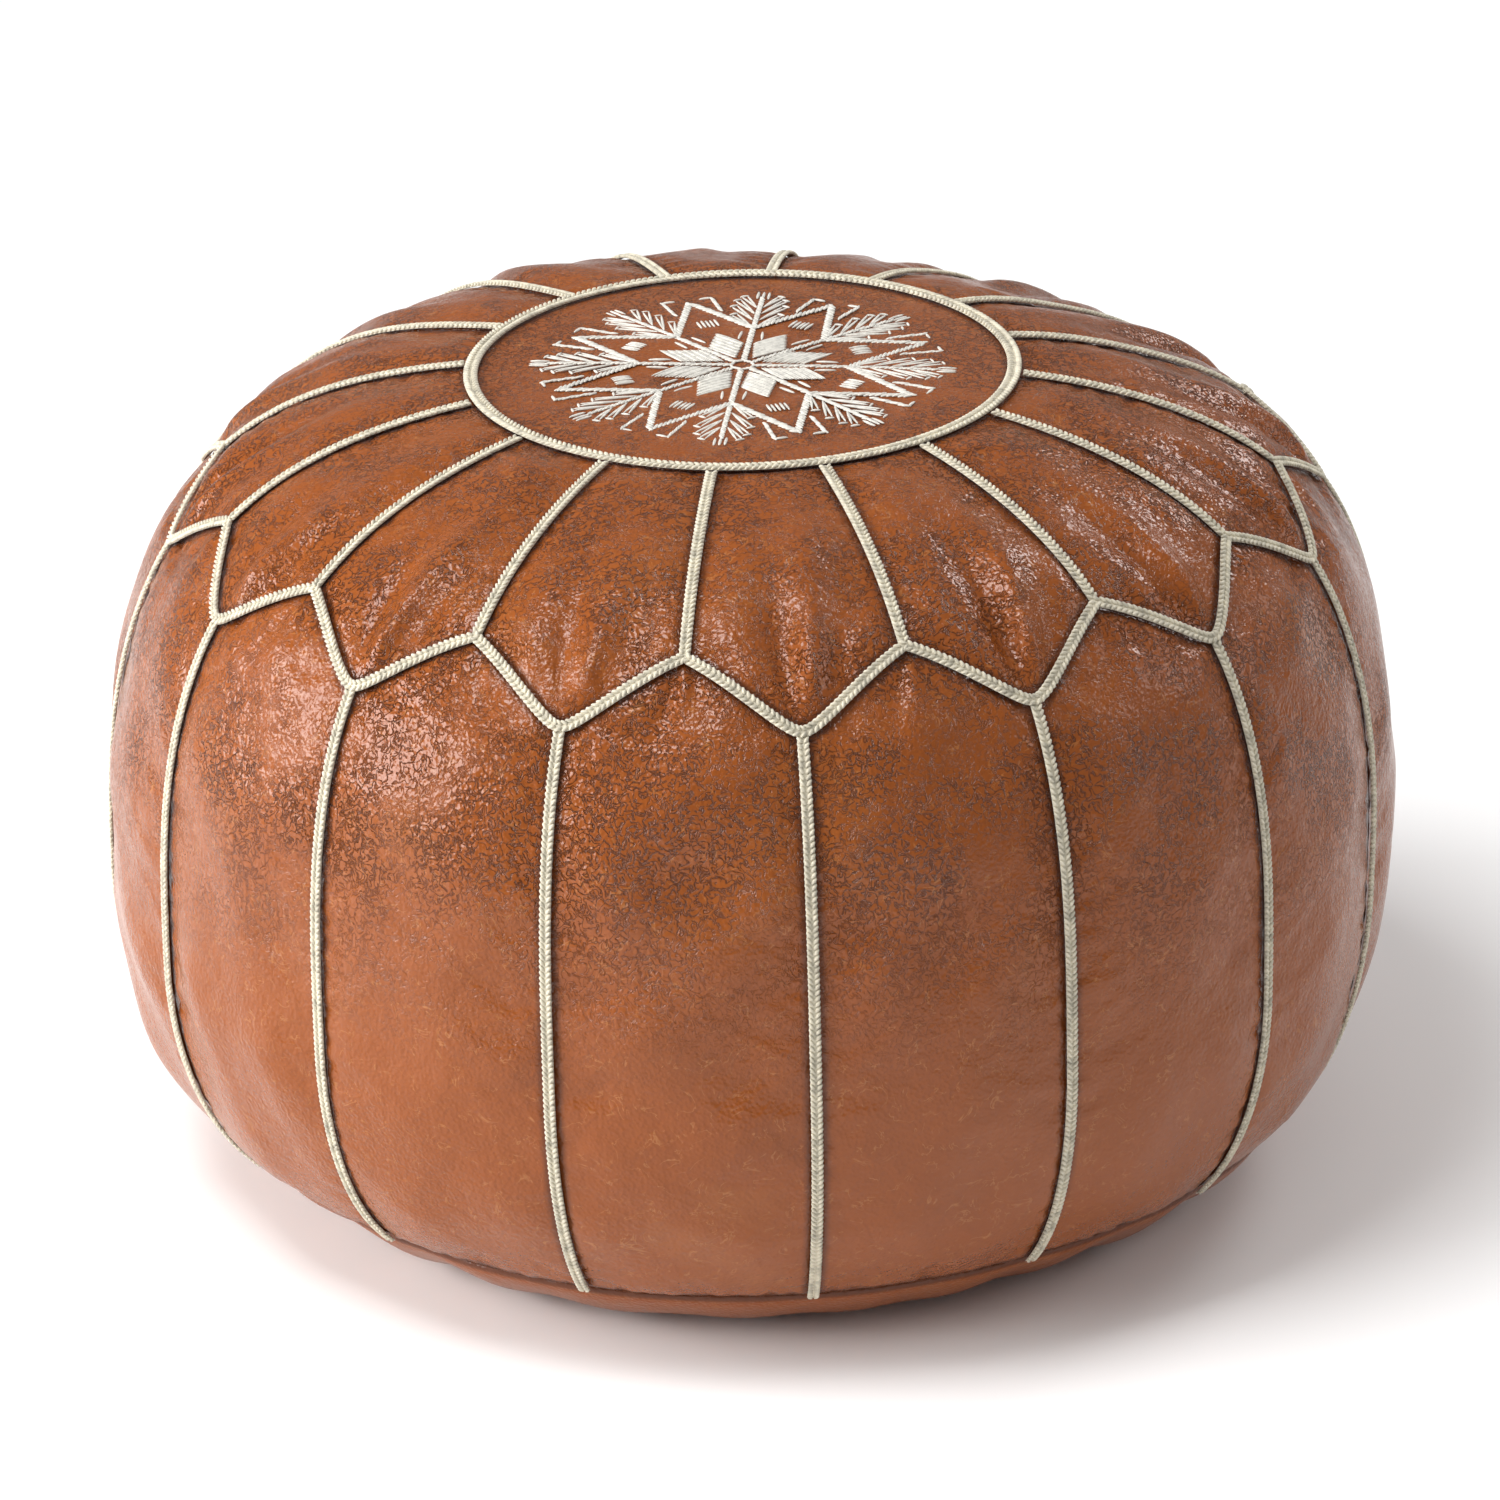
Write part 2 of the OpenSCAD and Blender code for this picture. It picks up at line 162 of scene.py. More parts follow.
def add(tree, kind, inputs=None, stops=(), **settings):
    """Adds a node. Settings name its properties or its inputs, inputs maps an input to a socket or a value, and
    stops are the places and colours of a colour ramp."""
    node = tree.nodes.new(kind)
    for key, value in settings.items():
        if hasattr(node, key):
            setattr(node, key, value)
        else:
            node.inputs[key.replace("_", " ")].default_value = value
    for key, value in (inputs or {}).items():
        if isinstance(value, bpy.types.NodeSocket):
            tree.links.new(value, node.inputs[key])
        else:
            node.inputs[key].default_value = value
    if stops:
        elements = node.color_ramp.elements
        while len(elements) < len(stops):
            elements.new(0.5)
        for element, (place, value) in zip(elements, stops):
            element.position = place
            element.color = value if isinstance(value, tuple) else (value, value, value, 1.0)
    return node


def blend_colour(first, second, share):
    """A linear colour between two sRGB hex values."""
    return tuple(a + (b - a) * share for a, b in zip(linear(first), linear(second)))


def shade(code, share):
    """An sRGB hex value as a linear colour, darker or lighter by a share."""
    return (*[min(1.0, share * v) for v in linear(code)[:3]], 1.0)


def set_shader(shader, **values):
    """Sets values that are the same all over on the shader's own sockets."""
    for key, value in values.items():
        shader.inputs[key.replace("_", " ")].default_value = value


def finish(tree, shader, colour=None, normal=None, rough=None):
    """Links a material's patterns to its shader."""
    for name, socket in (("Base Color", colour), ("Normal", normal), ("Roughness", rough)):
        if socket:
            tree.links.new(socket, shader.inputs[name])


def waxed_leather(name, tan, dark, pale, turn=0.0, gloss=(0.15, 0.28)):
    """Waxed full-cover hide, tumbled and hot-waxed: a saddle tan with soft clouds, curly hairlines where the wax
    is pulled thin, and a gloss that breaks up over creased grain. Painted shade darkens its creases and seams."""
    material, tree, shader = new_material(name)
    coordinates = add(tree, "ShaderNodeTexCoord").outputs["Object"]
    at = {"Vector": add(tree, "ShaderNodeMapping", {"Vector": coordinates}, Rotation=(0.0, 0.0, turn)).outputs[0]}
    seam = add(tree, "ShaderNodeAttribute", attribute_name="seam").outputs["Fac"]
    # A near-black brown, for the painted shade in the creases and beside the seams.
    painted_shade_brown = blend_colour(dark, "#1c0e07", 0.55)

    def thin_lines(pattern, strength, width):
        """Lines where a pattern crosses its middle, so that they wander and curl."""
        off = add(tree, "ShaderNodeMath", {0: pattern, 1: 0.5}, operation="SUBTRACT").outputs[0]
        near = add(tree, "ShaderNodeMath", {0: off}, operation="ABSOLUTE").outputs[0]
        return add(tree, "ShaderNodeValToRGB", {0: near}, [(0.0, strength), (width, 0.0)]).outputs[0]

    # Clouds of dye about 70 mm across, with 12 mm mottling inside them.
    clouds = add(tree, "ShaderNodeTexNoise", at, Scale=14.0, Detail=4.0, Roughness=0.55, Distortion=0.6).outputs[0]
    mottle = add(tree, "ShaderNodeTexNoise", at, Scale=80.0, Detail=5.0, Roughness=0.65).outputs[0]
    shades = (0.25, blend_colour(dark, tan, 0.90)), (0.58, linear(tan)), (0.90, blend_colour(tan, pale, 0.20))
    dye_and_shade = add(tree, "ShaderNodeValToRGB", {0: clouds}, shades).outputs[0]
    spots = add(tree, "ShaderNodeValToRGB", {0: mottle}, [(0.38, 0.0), (0.72, 0.22)]).outputs[0]
    dye_and_shade = add(tree, "ShaderNodeMix", {0: spots, 6: dye_and_shade, 7: linear(dark)}, data_type="RGBA").outputs[2]

    # Hairlines: curly pale lines under 1 mm wide, where the wax is stretched, broken into short runs.
    curls = add(tree, "ShaderNodeTexNoise", at, Scale=75.0, Detail=3.0, Roughness=0.6, Distortion=1.2).outputs[0]
    broken = add(tree, "ShaderNodeTexNoise", at, Scale=160.0, Detail=2.0).outputs[0]
    runs = add(tree, "ShaderNodeValToRGB", {0: broken}, [(0.46, 0.0), (0.60, 1.0)]).outputs[0]
    hairs = add(tree, "ShaderNodeMath", {0: thin_lines(curls, 0.42, 0.016), 1: runs}, operation="MULTIPLY").outputs[0]
    dye_and_shade = add(tree, "ShaderNodeMix", {0: hairs, 6: dye_and_shade, 7: linear(pale)}, data_type="RGBA").outputs[2]

    # Creases: thin valleys, really 1.5 mm apart and drawn at 2 mm so that they show, darkened with painted shade. They
    # come in patches of 40 mm, and mostly higher up, on the crown and shoulder, where the key light's gloss falls.
    crinkle = add(tree, "ShaderNodeTexNoise", at, Scale=300.0, Detail=2.5, Roughness=0.55, Distortion=0.9).outputs[0]
    patches = add(tree, "ShaderNodeTexNoise", at, Scale=26.0, Detail=3.0, Roughness=0.6).outputs[0]
    patchy = add(tree, "ShaderNodeValToRGB", {0: patches}, [(0.36, 0.25), (0.56, 1.0)]).outputs[0]
    height = {"Value": add(tree, "ShaderNodeSeparateXYZ", {0: at["Vector"]}).outputs[2]}
    upper_band = add(tree, "ShaderNodeMapRange", height, From_Min=0.125, From_Max=0.215, To_Min=0.07).outputs[0]
    depth = add(tree, "ShaderNodeMath", {0: patchy, 1: upper_band}, operation="MULTIPLY").outputs[0]
    crease_shade_inputs = {0: thin_lines(crinkle, 0.78, 0.050), 1: depth}
    # Painted shade: the crease lines darken the colour towards a near-black brown.
    painted_crease_shade = add(tree, "ShaderNodeMath", crease_shade_inputs, operation="MULTIPLY").outputs[0]
    dye_and_shade = add(tree, "ShaderNodeMix", {0: painted_crease_shade, 6: dye_and_shade, 7: painted_shade_brown}, data_type="RGBA").outputs[2]
    # Painted shade beside the seams, where the plaits and the tucked edges shade the leather.
    painted_seam_shade = add(tree, "ShaderNodeValToRGB", {0: seam}, [(0.28, 0.0), (0.46, 0.66), (0.62, 0.85)]).outputs[0]
    dye_and_shade = add(tree, "ShaderNodeMix", {0: painted_seam_shade, 6: dye_and_shade, 7: painted_shade_brown}, data_type="RGBA").outputs[2]

    # Grain: the creases, cells of 1.6 mm between them for pores that are really far finer, and slow 14 mm waves.
    waves = add(tree, "ShaderNodeTexNoise", at, Scale=70.0, Detail=2.0).outputs[0]
    cells = add(tree, "ShaderNodeTexVoronoi", at, feature="SMOOTH_F1", Scale=620.0, Smoothness=0.6).outputs[0]
    slow = add(tree, "ShaderNodeBump", {"Height": waves}, Strength=0.6, Distance=0.0022).outputs[0]
    valleys = {"Height": thin_lines(crinkle, 1.0, 0.055), "Strength": depth, "Normal": slow}
    creased = add(tree, "ShaderNodeBump", valleys, invert=True, Distance=0.0008).outputs[0]
    pored = add(tree, "ShaderNodeBump", {"Height": cells, "Normal": creased}, Strength=0.5, Distance=0.0006).outputs[0]
    rough = add(tree, "ShaderNodeMapRange", {"Value": patches}, To_Min=gloss[0], To_Max=gloss[1]).outputs[0]
    finish(tree, shader, dye_and_shade, pored, rough)
    set_shader(shader, IOR=1.5, Specular_IOR_Level=0.40)
    return material


def plaited_cotton(name, cream):
    """Waxed cotton plait: matt cream strands, a little grey where they are handled."""
    material, tree, shader = new_material(name)
    at = {"Vector": add(tree, "ShaderNodeTexCoord").outputs["Object"]}
    tone = add(tree, "ShaderNodeTexNoise", at, Scale=260.0, Detail=3.0).outputs[0]
    tones = add(tree, "ShaderNodeValToRGB", {0: tone}, [(0.30, shade(cream, 0.62)), (0.58, linear(cream))])
    fibre = add(tree, "ShaderNodeTexNoise", at, Scale=2600.0, Detail=2.0).outputs[0]
    bump = add(tree, "ShaderNodeBump", {"Height": fibre}, Strength=0.5, Distance=0.0003)
    finish(tree, shader, tones.outputs[0], bump.outputs[0])
    set_shader(shader, Roughness=0.62, Specular_IOR_Level=0.35, Sheen_Weight=0.15, Sheen_Roughness=0.5)
    return material


def silk_thread(name, silk):
    """Rayon silk floss: off-white with a soft lustre along the stitches."""
    material, tree, shader = new_material(name)
    at = {"Vector": add(tree, "ShaderNodeTexCoord").outputs["Object"]}
    tone = add(tree, "ShaderNodeTexNoise", at, Scale=380.0, Detail=2.0).outputs[0]
    tones = add(tree, "ShaderNodeValToRGB", {0: tone}, [(0.32, shade(silk, 0.72)), (0.60, linear(silk))])
    finish(tree, shader, tones.outputs[0])
    set_shader(shader, Roughness=0.38, Specular_IOR_Level=0.5, Sheen_Weight=0.2)
    return material


def woven_tape(name, tape):
    """Woven polyester tape: a herringbone of 0.8 mm yarns, matt and dark."""
    material, tree, shader = new_material(name)
    at = {"Vector": add(tree, "ShaderNodeTexCoord").outputs["Object"]}
    yarns = add(tree, "ShaderNodeTexWave", at, bands_direction="DIAGONAL", Scale=200.0, Distortion=0.4).outputs["Fac"]
    tones = add(tree, "ShaderNodeValToRGB", {0: yarns}, [(0.2, shade(tape, 0.55)), (0.7, linear(tape))])
    bump = add(tree, "ShaderNodeBump", {"Height": yarns}, Strength=0.6, Distance=0.0003)
    finish(tree, shader, tones.outputs[0], bump.outputs[0])
    set_shader(shader, Roughness=0.8)
    return material


def moulded_nylon(name, coil):
    """Moulded nylon coil: satin, with faint scuffs."""
    material, tree, shader = new_material(name)
    at = {"Vector": add(tree, "ShaderNodeTexCoord").outputs["Object"]}
    scuffs = add(tree, "ShaderNodeTexNoise", at, Scale=900.0, Detail=3.0).outputs[0]
    tones = add(tree, "ShaderNodeValToRGB", {0: scuffs}, [(0.45, linear(coil)), (0.75, shade(coil, 1.7))])
    rough = add(tree, "ShaderNodeMapRange", {"Value": scuffs}, To_Min=0.32, To_Max=0.5)
    finish(tree, shader, tones.outputs[0], rough=rough.outputs[0])
    return material


def aged_brass(name, brass):
    """Cast brass with a rubbed antique finish: dark in its hollows, brighter where it is handled."""
    material, tree, shader = new_material(name)
    at = {"Vector": add(tree, "ShaderNodeTexCoord").outputs["Object"]}
    tarnish = add(tree, "ShaderNodeTexNoise", at, Scale=420.0, Detail=4.0, Roughness=0.65).outputs[0]
    tones = add(tree, "ShaderNodeValToRGB", {0: tarnish}, [(0.38, shade(brass, 0.35)), (0.60, linear(brass))])
    rough = add(tree, "ShaderNodeMapRange", {"Value": tarnish}, To_Min=0.55, To_Max=0.28)
    bump = add(tree, "ShaderNodeBump", {"Height": tarnish}, Strength=0.2, Distance=0.0002)
    finish(tree, shader, tones.outputs[0], bump.outputs[0], rough.outputs[0])
    set_shader(shader, Metallic=1.0)
    return material


def plain_cotton(name, tone, scale):
    """Unbleached cotton: a plain weave of 0.6 mm yarns for the liner, or matted fibre for the filling."""
    material, tree, shader = new_material(name)
    at = {"Vector": add(tree, "ShaderNodeTexCoord").outputs["Object"]}
    weave = add(tree, "ShaderNodeTexNoise", at, Scale=scale, Detail=3.0).outputs[0]
    tones = add(tree, "ShaderNodeValToRGB", {0: weave}, [(0.35, shade(tone, 0.8)), (0.65, linear(tone))])
    bump = add(tree, "ShaderNodeBump", {"Height": weave}, Strength=0.6, Distance=0.0004)
    finish(tree, shader, tones.outputs[0], bump.outputs[0])
    set_shader(shader, Roughness=0.9, Sheen_Weight=0.2)
    return material


def wear(piece, material):
    """Gives a piece one material all over."""
    piece.data.materials.clear()
    piece.data.materials.append(material)
    return piece


# ---- Shape of the cover ---------------------------------------------------------------
class Skin:
    """The cover's outline from the medallion's seam to the foot, by length along it."""

    def __init__(self, shape):
        radius, power = shape.body_radius, shape.crown_power
        crown = shape.crown_height - shape.belly_height
        fold = radius - shape.foot_radius
        turn = np.linspace(math.acos((shape.medallion_radius / radius) ** (power / 2)), 0.0, 900)
        over_r = radius * np.cos(turn) ** (2 / power)
        over_z = shape.belly_height + crown * np.sin(turn) ** (2 / power)
        under = np.linspace(0.0, math.pi / 2, 600)[1:]
        under_r = shape.foot_radius + fold * np.cos(under)
        under_z = shape.belly_height * (1 - np.sin(under))
        self.r = np.concatenate([over_r, under_r])
        self.z = np.concatenate([over_z, under_z])
        step_r, step_z = np.gradient(self.r), np.gradient(self.z)
        size = np.hypot(step_r, step_z)
        self.s = np.concatenate([[0.0], np.cumsum(np.hypot(np.diff(self.r), np.diff(self.z)))])
        self.nr, self.nz = -step_z / size, step_r / size
        top = len(over_r)
        self.peak = np.interp(shape.peak_radius, self.r[:top], self.s[:top])
        self.tip = np.interp(shape.tip_radius, self.r[:top], self.s[:top])
        self.base = np.interp(-shape.base_seam_radius, -self.r[top:], self.s[top:])
        self.foot = self.s[-1]
        self.half = math.pi / shape.panels
        # Hand stuffing is never even. Each row is a place where the cover sinks in or swells: angle in degrees,
        # height, depth, and how far it spreads round and along the cover.
        self.hollows = [
            (math.radians(at), np.interp(-height, -self.z, self.s), depth, math.radians(wide), long)
            for at, height, depth, wide, long in (
                (140, 0.312, -0.0048, 36, 0.060),
                (-140, 0.312, 0.0022, 36, 0.060),
                (-88, 0.250, -0.0055, 38, 0.070),
                (98, 0.100, -0.0052, 36, 0.070),
                (88, 0.235, -0.0028, 36, 0.060),
                (-44, 0.012, -0.0050, 24, 0.040),
                (42, 0.012, -0.0026, 24, 0.040),
            )
        ]

    def uneven(self, angle, along):
        """How far the cover stands out of its even shape."""
        lift = 0.0
        for at, place, depth, wide, long in self.hollows:
            away = np.angle(np.exp(1j * (angle - at)))
            lift = lift + depth * np.exp(-((away / wide) ** 2) - ((along - place) / long) ** 2)
        return lift * (1 - np.exp(-((along / 0.040) ** 2)))

    def point(self, angle, along, lift=0.0):
        """Places on the skin: angle from the front towards +X, length along the outline, and height above it."""
        nr, nz = np.interp(along, self.s, self.nr), np.interp(along, self.s, self.nz)
        lift = lift + self.uneven(angle, along)
        r = np.interp(along, self.s, self.r) + lift * nr
        z = np.interp(along, self.s, self.z) + lift * nz
        return np.stack([r * np.sin(angle), -r * np.cos(angle), z], axis=-1)

    def normal(self, angle, along):
        nr, nz = np.interp(along, self.s, self.nr), np.interp(along, self.s, self.nz)
        return np.stack([nr * np.sin(angle), -nr * np.cos(angle), nz], axis=-1)

    def point_edge(self, across):
        """Length along the outline of a petal's edge: across is 0 at its tip and 1 at its upper corners."""
        soft = 0.10
        fall = (np.sqrt(across**2 + soft**2) - soft) / (math.sqrt(1 + soft**2) - soft)
        arched = 0.65 * fall + 0.35 * np.sin(0.5 * math.pi * fall)
        return self.tip + (self.peak - self.tip) * arched


def grid_faces(columns, rows):
    """Quads of a grid of (rows + 1) by (columns + 1) points, row by row."""
    k = np.arange(rows)[:, None] * (columns + 1) + np.arange(columns)[None, :]
    return np.stack([k, k + columns + 1, k + columns + 2, k + 1], axis=-1).reshape(-1, 4)


def mesh_piece(name, points, faces):
    """A new mesh object from points and faces, at the origin."""
    mesh = bpy.data.meshes.new(name)
    mesh.from_pydata(np.asarray(points, float).tolist(), [], faces if isinstance(faces, list) else faces.tolist())
    piece = bpy.data.objects.new(name, mesh)
    bpy.context.collection.objects.link(piece)
    return piece


def only(piece):
    """Selects one object and makes it active."""
    bpy.ops.object.select_all(action="DESELECT")
    piece.select_set(True)
    bpy.context.view_layer.objects.active = piece


def thicken(piece, thickness):
    """Gives an open sheet its thickness, inwards from the face that shows."""
    modifier = piece.modifiers.new("Solidify", "SOLIDIFY")
    modifier.thickness = thickness
    modifier.offset = -1.0
    only(piece)
    bpy.ops.object.modifier_apply(modifier=modifier.name)


def smooth(piece):
    """Shades a piece smooth."""
    piece.data.shade_smooth()
    return piece


def belong(piece, material, node=None):
    """Gives a new piece its material and the body it rides on, and hides the CAD node that it stands for."""
    wear(piece, material)
    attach(piece, COVER)
    if node:
        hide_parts(node)


def sew_leather(name, node, points, faces, seam, thickness, hide):
    """Makes a panel from its outer face: its thickness goes inwards, and it stands for its CAD node."""
    piece = mesh_piece(name, points, faces)
    # The seam value, near 1 at a seam and 0 away from it, sets the painted shade beside the seams.
    attribute = piece.data.attributes.new("seam", "FLOAT", "POINT")
    attribute.data.foreach_set("value", np.asarray(seam, np.float32).ravel())
    thicken(piece, thickness)
    belong(smooth(piece), hide, node)


# ---- Leather panels -----------------------------------------------------------------
COLUMNS = 24
PETAL_ROWS = 34
SIDE_ROWS = 62
EDGE = 0.0002  # half the gap between two panels
SEAM_SHADE = 0.0042  # how far the painted shade beside a seam reaches


class Panel:
    """One leather panel as a grid: u runs from -1 to 1 across it, v from 0 at its top to 1 at its foot."""

    def __init__(self, skin, node, centre, kind, number):
        self.skin, self.node, self.centre, self.kind, self.number = skin, node, centre, kind, number
        self.rows = PETAL_ROWS if kind == "petal" else SIDE_ROWS
        self.lay(COLUMNS, self.rows)

    def lay(self, columns, rows):
        skin = self.skin
        self.columns, self.rows = columns, rows
        u = np.linspace(-1, 1, columns + 1)[None, :]
        v = np.linspace(0, 1, rows + 1)[:, None]
        if self.kind == "petal":
            top, foot = EDGE + 0 * u, skin.point_edge(np.abs(u)) - EDGE
        else:
            top, foot = skin.point_edge(1 - np.abs(u)) + EDGE, skin.base - EDGE + 0 * u
        self.u, self.v = u + 0 * v, v + 0 * u
        self.s = top + v * (foot - top)
        r = np.interp(self.s, skin.s, skin.r)
        self.angle = self.centre + self.u * (skin.half - EDGE / r)
        self.x = self.u * skin.half * r
        # Distances to the seams beside, above and below.
        self.to_side = (1 - np.abs(self.u)) * skin.half * r
        slope = 0.80  # the cosine of the petals' slanted edges
        self.to_top = (self.s - top) * (1.0 if self.kind == "petal" else slope)
        self.to_foot = (foot - self.s) * (slope if self.kind == "petal" else 1.0)
        self.to_seam = np.minimum(np.minimum(self.to_side, self.to_top), self.to_foot)

    def edge(self):
        """The points that are sewn to the next panel."""
        return (np.abs(self.u) > 0.9999) | (self.v < 0.0001) | (self.v > 0.9999)

    def points(self, lift):
        return self.skin.point(self.angle, self.s, lift)

    def normals(self):
        return self.skin.normal(self.angle, self.s)

    def folds(self, shape):
        """Folds and puckers that the sewing leaves in the leather, as heights over the blown-up panel."""
        draw = np.random.default_rng(700 + self.number * 2 + (self.kind == "petal"))
        skin, seam = self.skin, self.to_seam
        lift = np.zeros_like(self.u)
        inside = 1 - np.exp(-seam / 0.012)
        # The stuffing's lumps, 40 to 90 mm across.
        for _ in range(7):
            size = draw.uniform(0.040, 0.090)
            way = draw.uniform(0, math.pi)
            along = self.x * math.cos(way) + self.s * math.sin(way)
            wave = along * 2 * math.pi / size + draw.uniform(0, 6.28)
            lift += shape.lumps * 0.40 * np.sin(wave) * inside
        if self.kind == "petal":
            # Folds run up from the tip: a deep valley left of the middle, a ridge beside it, and lesser ones.
            up = skin.tip - self.s
            grow = np.clip((up - 0.002) / 0.020, 0, 1) ** 1.2 * np.exp(-((up / 0.078) ** 3))
            gather = 0.55 + 0.45 * np.clip(up / 0.050, 0, 1.3)
            lean = draw.uniform(-0.004, 0.004)
            rows = (-0.007, 0.0060, -0.95), (0.006, 0.0062, 0.75), (0.021, 0.0075, -0.40), (-0.023, 0.0080, 0.30)
            for middle, spread, height in rows:
                middle += lean + draw.uniform(-0.003, 0.003)
                height *= draw.uniform(0.55, 1.20)
                fold = np.exp(-(((self.x - middle * gather) / (spread * gather)) ** 2))
                lift += shape.fold_depth * height * grow * fold * (1 - np.exp(-seam / 0.004))
        else:
            # Dimples hang under the gable's corner, where four layers of leather meet.
            down, across = self.s - skin.peak, self.x
            reach = np.hypot(down, across)
            ray = np.degrees(np.arctan2(across, np.maximum(down, 1e-5)))
            grow = np.clip(reach / 0.012, 0, 1) * np.exp(-((reach / 0.034) ** 2))
            for middle, spread, height in ((-20, 9, -0.8), (0, 8, 0.5), (22, 9, -0.7)):
                height *= draw.uniform(0.4, 1.2)
                dimple = np.exp(-(((ray - middle - draw.uniform(-6, 6)) / spread) ** 2))
                lift += 0.42 * shape.fold_depth * height * grow * dimple
            # A pinch each side, where the side seams start.
            for side in (-1, 1):
                down = self.s - skin.tip
                across = skin.half * np.interp(self.s, skin.s, skin.r) - side * self.x
                reach = np.hypot(down, across)
                grow = np.clip(reach / 0.014, 0, 1) * np.exp(-((reach / 0.036) ** 2))
                ray = np.degrees(np.arctan2(across, down))
                for middle, height in ((45, -0.5), (75, 0.45), (110, -0.5)):
                    height *= draw.uniform(0.3, 1.2)
                    lift += 0.34 * shape.fold_depth * height * grow * np.exp(-(((ray - middle) / 13) ** 2))
        # Small puckers across every seam, 8 to 13 mm apart.
        run = np.where(self.to_side <= np.minimum(self.to_top, self.to_foot), self.s, self.x)
        pucker = np.zeros_like(lift)
        for _ in range(3):
            pucker += np.sin(run * 2 * math.pi / draw.uniform(0.008, 0.013) + draw.uniform(0, 6.28))
        lift += 0.00016 * pucker * np.exp(-((seam / 0.011) ** 2)) * np.clip(seam / 0.003, 0, 1)
        return lift


def finer(grid):
    """Doubles a grid of points on a smooth curve through them, first down and then across."""
    for axis in (0, 1):
        g = np.moveaxis(grid, axis, 0)
        before = np.concatenate([2 * g[:1] - g[1:2], g[:-2]])
        after = np.concatenate([g[2:], 2 * g[-1:] - g[-2:-1]])
        middle = (9 * (g[:-1] + g[1:]) - before - after) / 16
        out = np.empty((2 * len(g) - 1, *g.shape[1:]))
        out[0::2], out[1::2] = g, middle
        grid = np.moveaxis(out, 0, axis)
    return grid


def inflate(points, faces, pins, slack, frames=20):
    """Blows the sewn cover up with cloth pressure while its seams stay where they are, and gives the new points."""
    whole = mesh_piece("cover_before_stuffing", points, faces)
    group = whole.vertex_groups.new(name="seams")
    group.add([int(i) for i in np.nonzero(pins)[0]], 1.0, "REPLACE")
    cloth = whole.modifiers.new("Cloth", "CLOTH")
    settings = cloth.settings
    settings.quality = 5
    settings.mass = 0.4
    settings.air_damping = 4.0
    settings.tension_stiffness = settings.compression_stiffness = 60.0
    settings.shear_stiffness = 30.0
    settings.bending_stiffness = 0.4
    settings.vertex_group_mass = "seams"
    settings.shrink_min = -slack
    settings.use_pressure = True
    settings.uniform_pressure_force = 4.0
    settings.effector_weights.gravity = 0.0
    cloth.collision_settings.use_collision = False
    cloth.point_cache.frame_start, cloth.point_cache.frame_end = 1, frames
    for step in range(1, frames + 1):
        bpy.context.scene.frame_set(step)
    only(whole)
    bpy.ops.object.modifier_apply(modifier=cloth.name)
    bpy.context.scene.frame_set(1)
    moved = np.zeros(len(points) * 3)
    whole.data.vertices.foreach_get("co", moved)
    bpy.data.objects.remove(whole)
    step = moved.reshape(-1, 3) - points
    size = np.linalg.norm(step, axis=1, keepdims=True)
    return points + step * np.minimum(1.0, 0.010 / np.maximum(size, 1e-9))


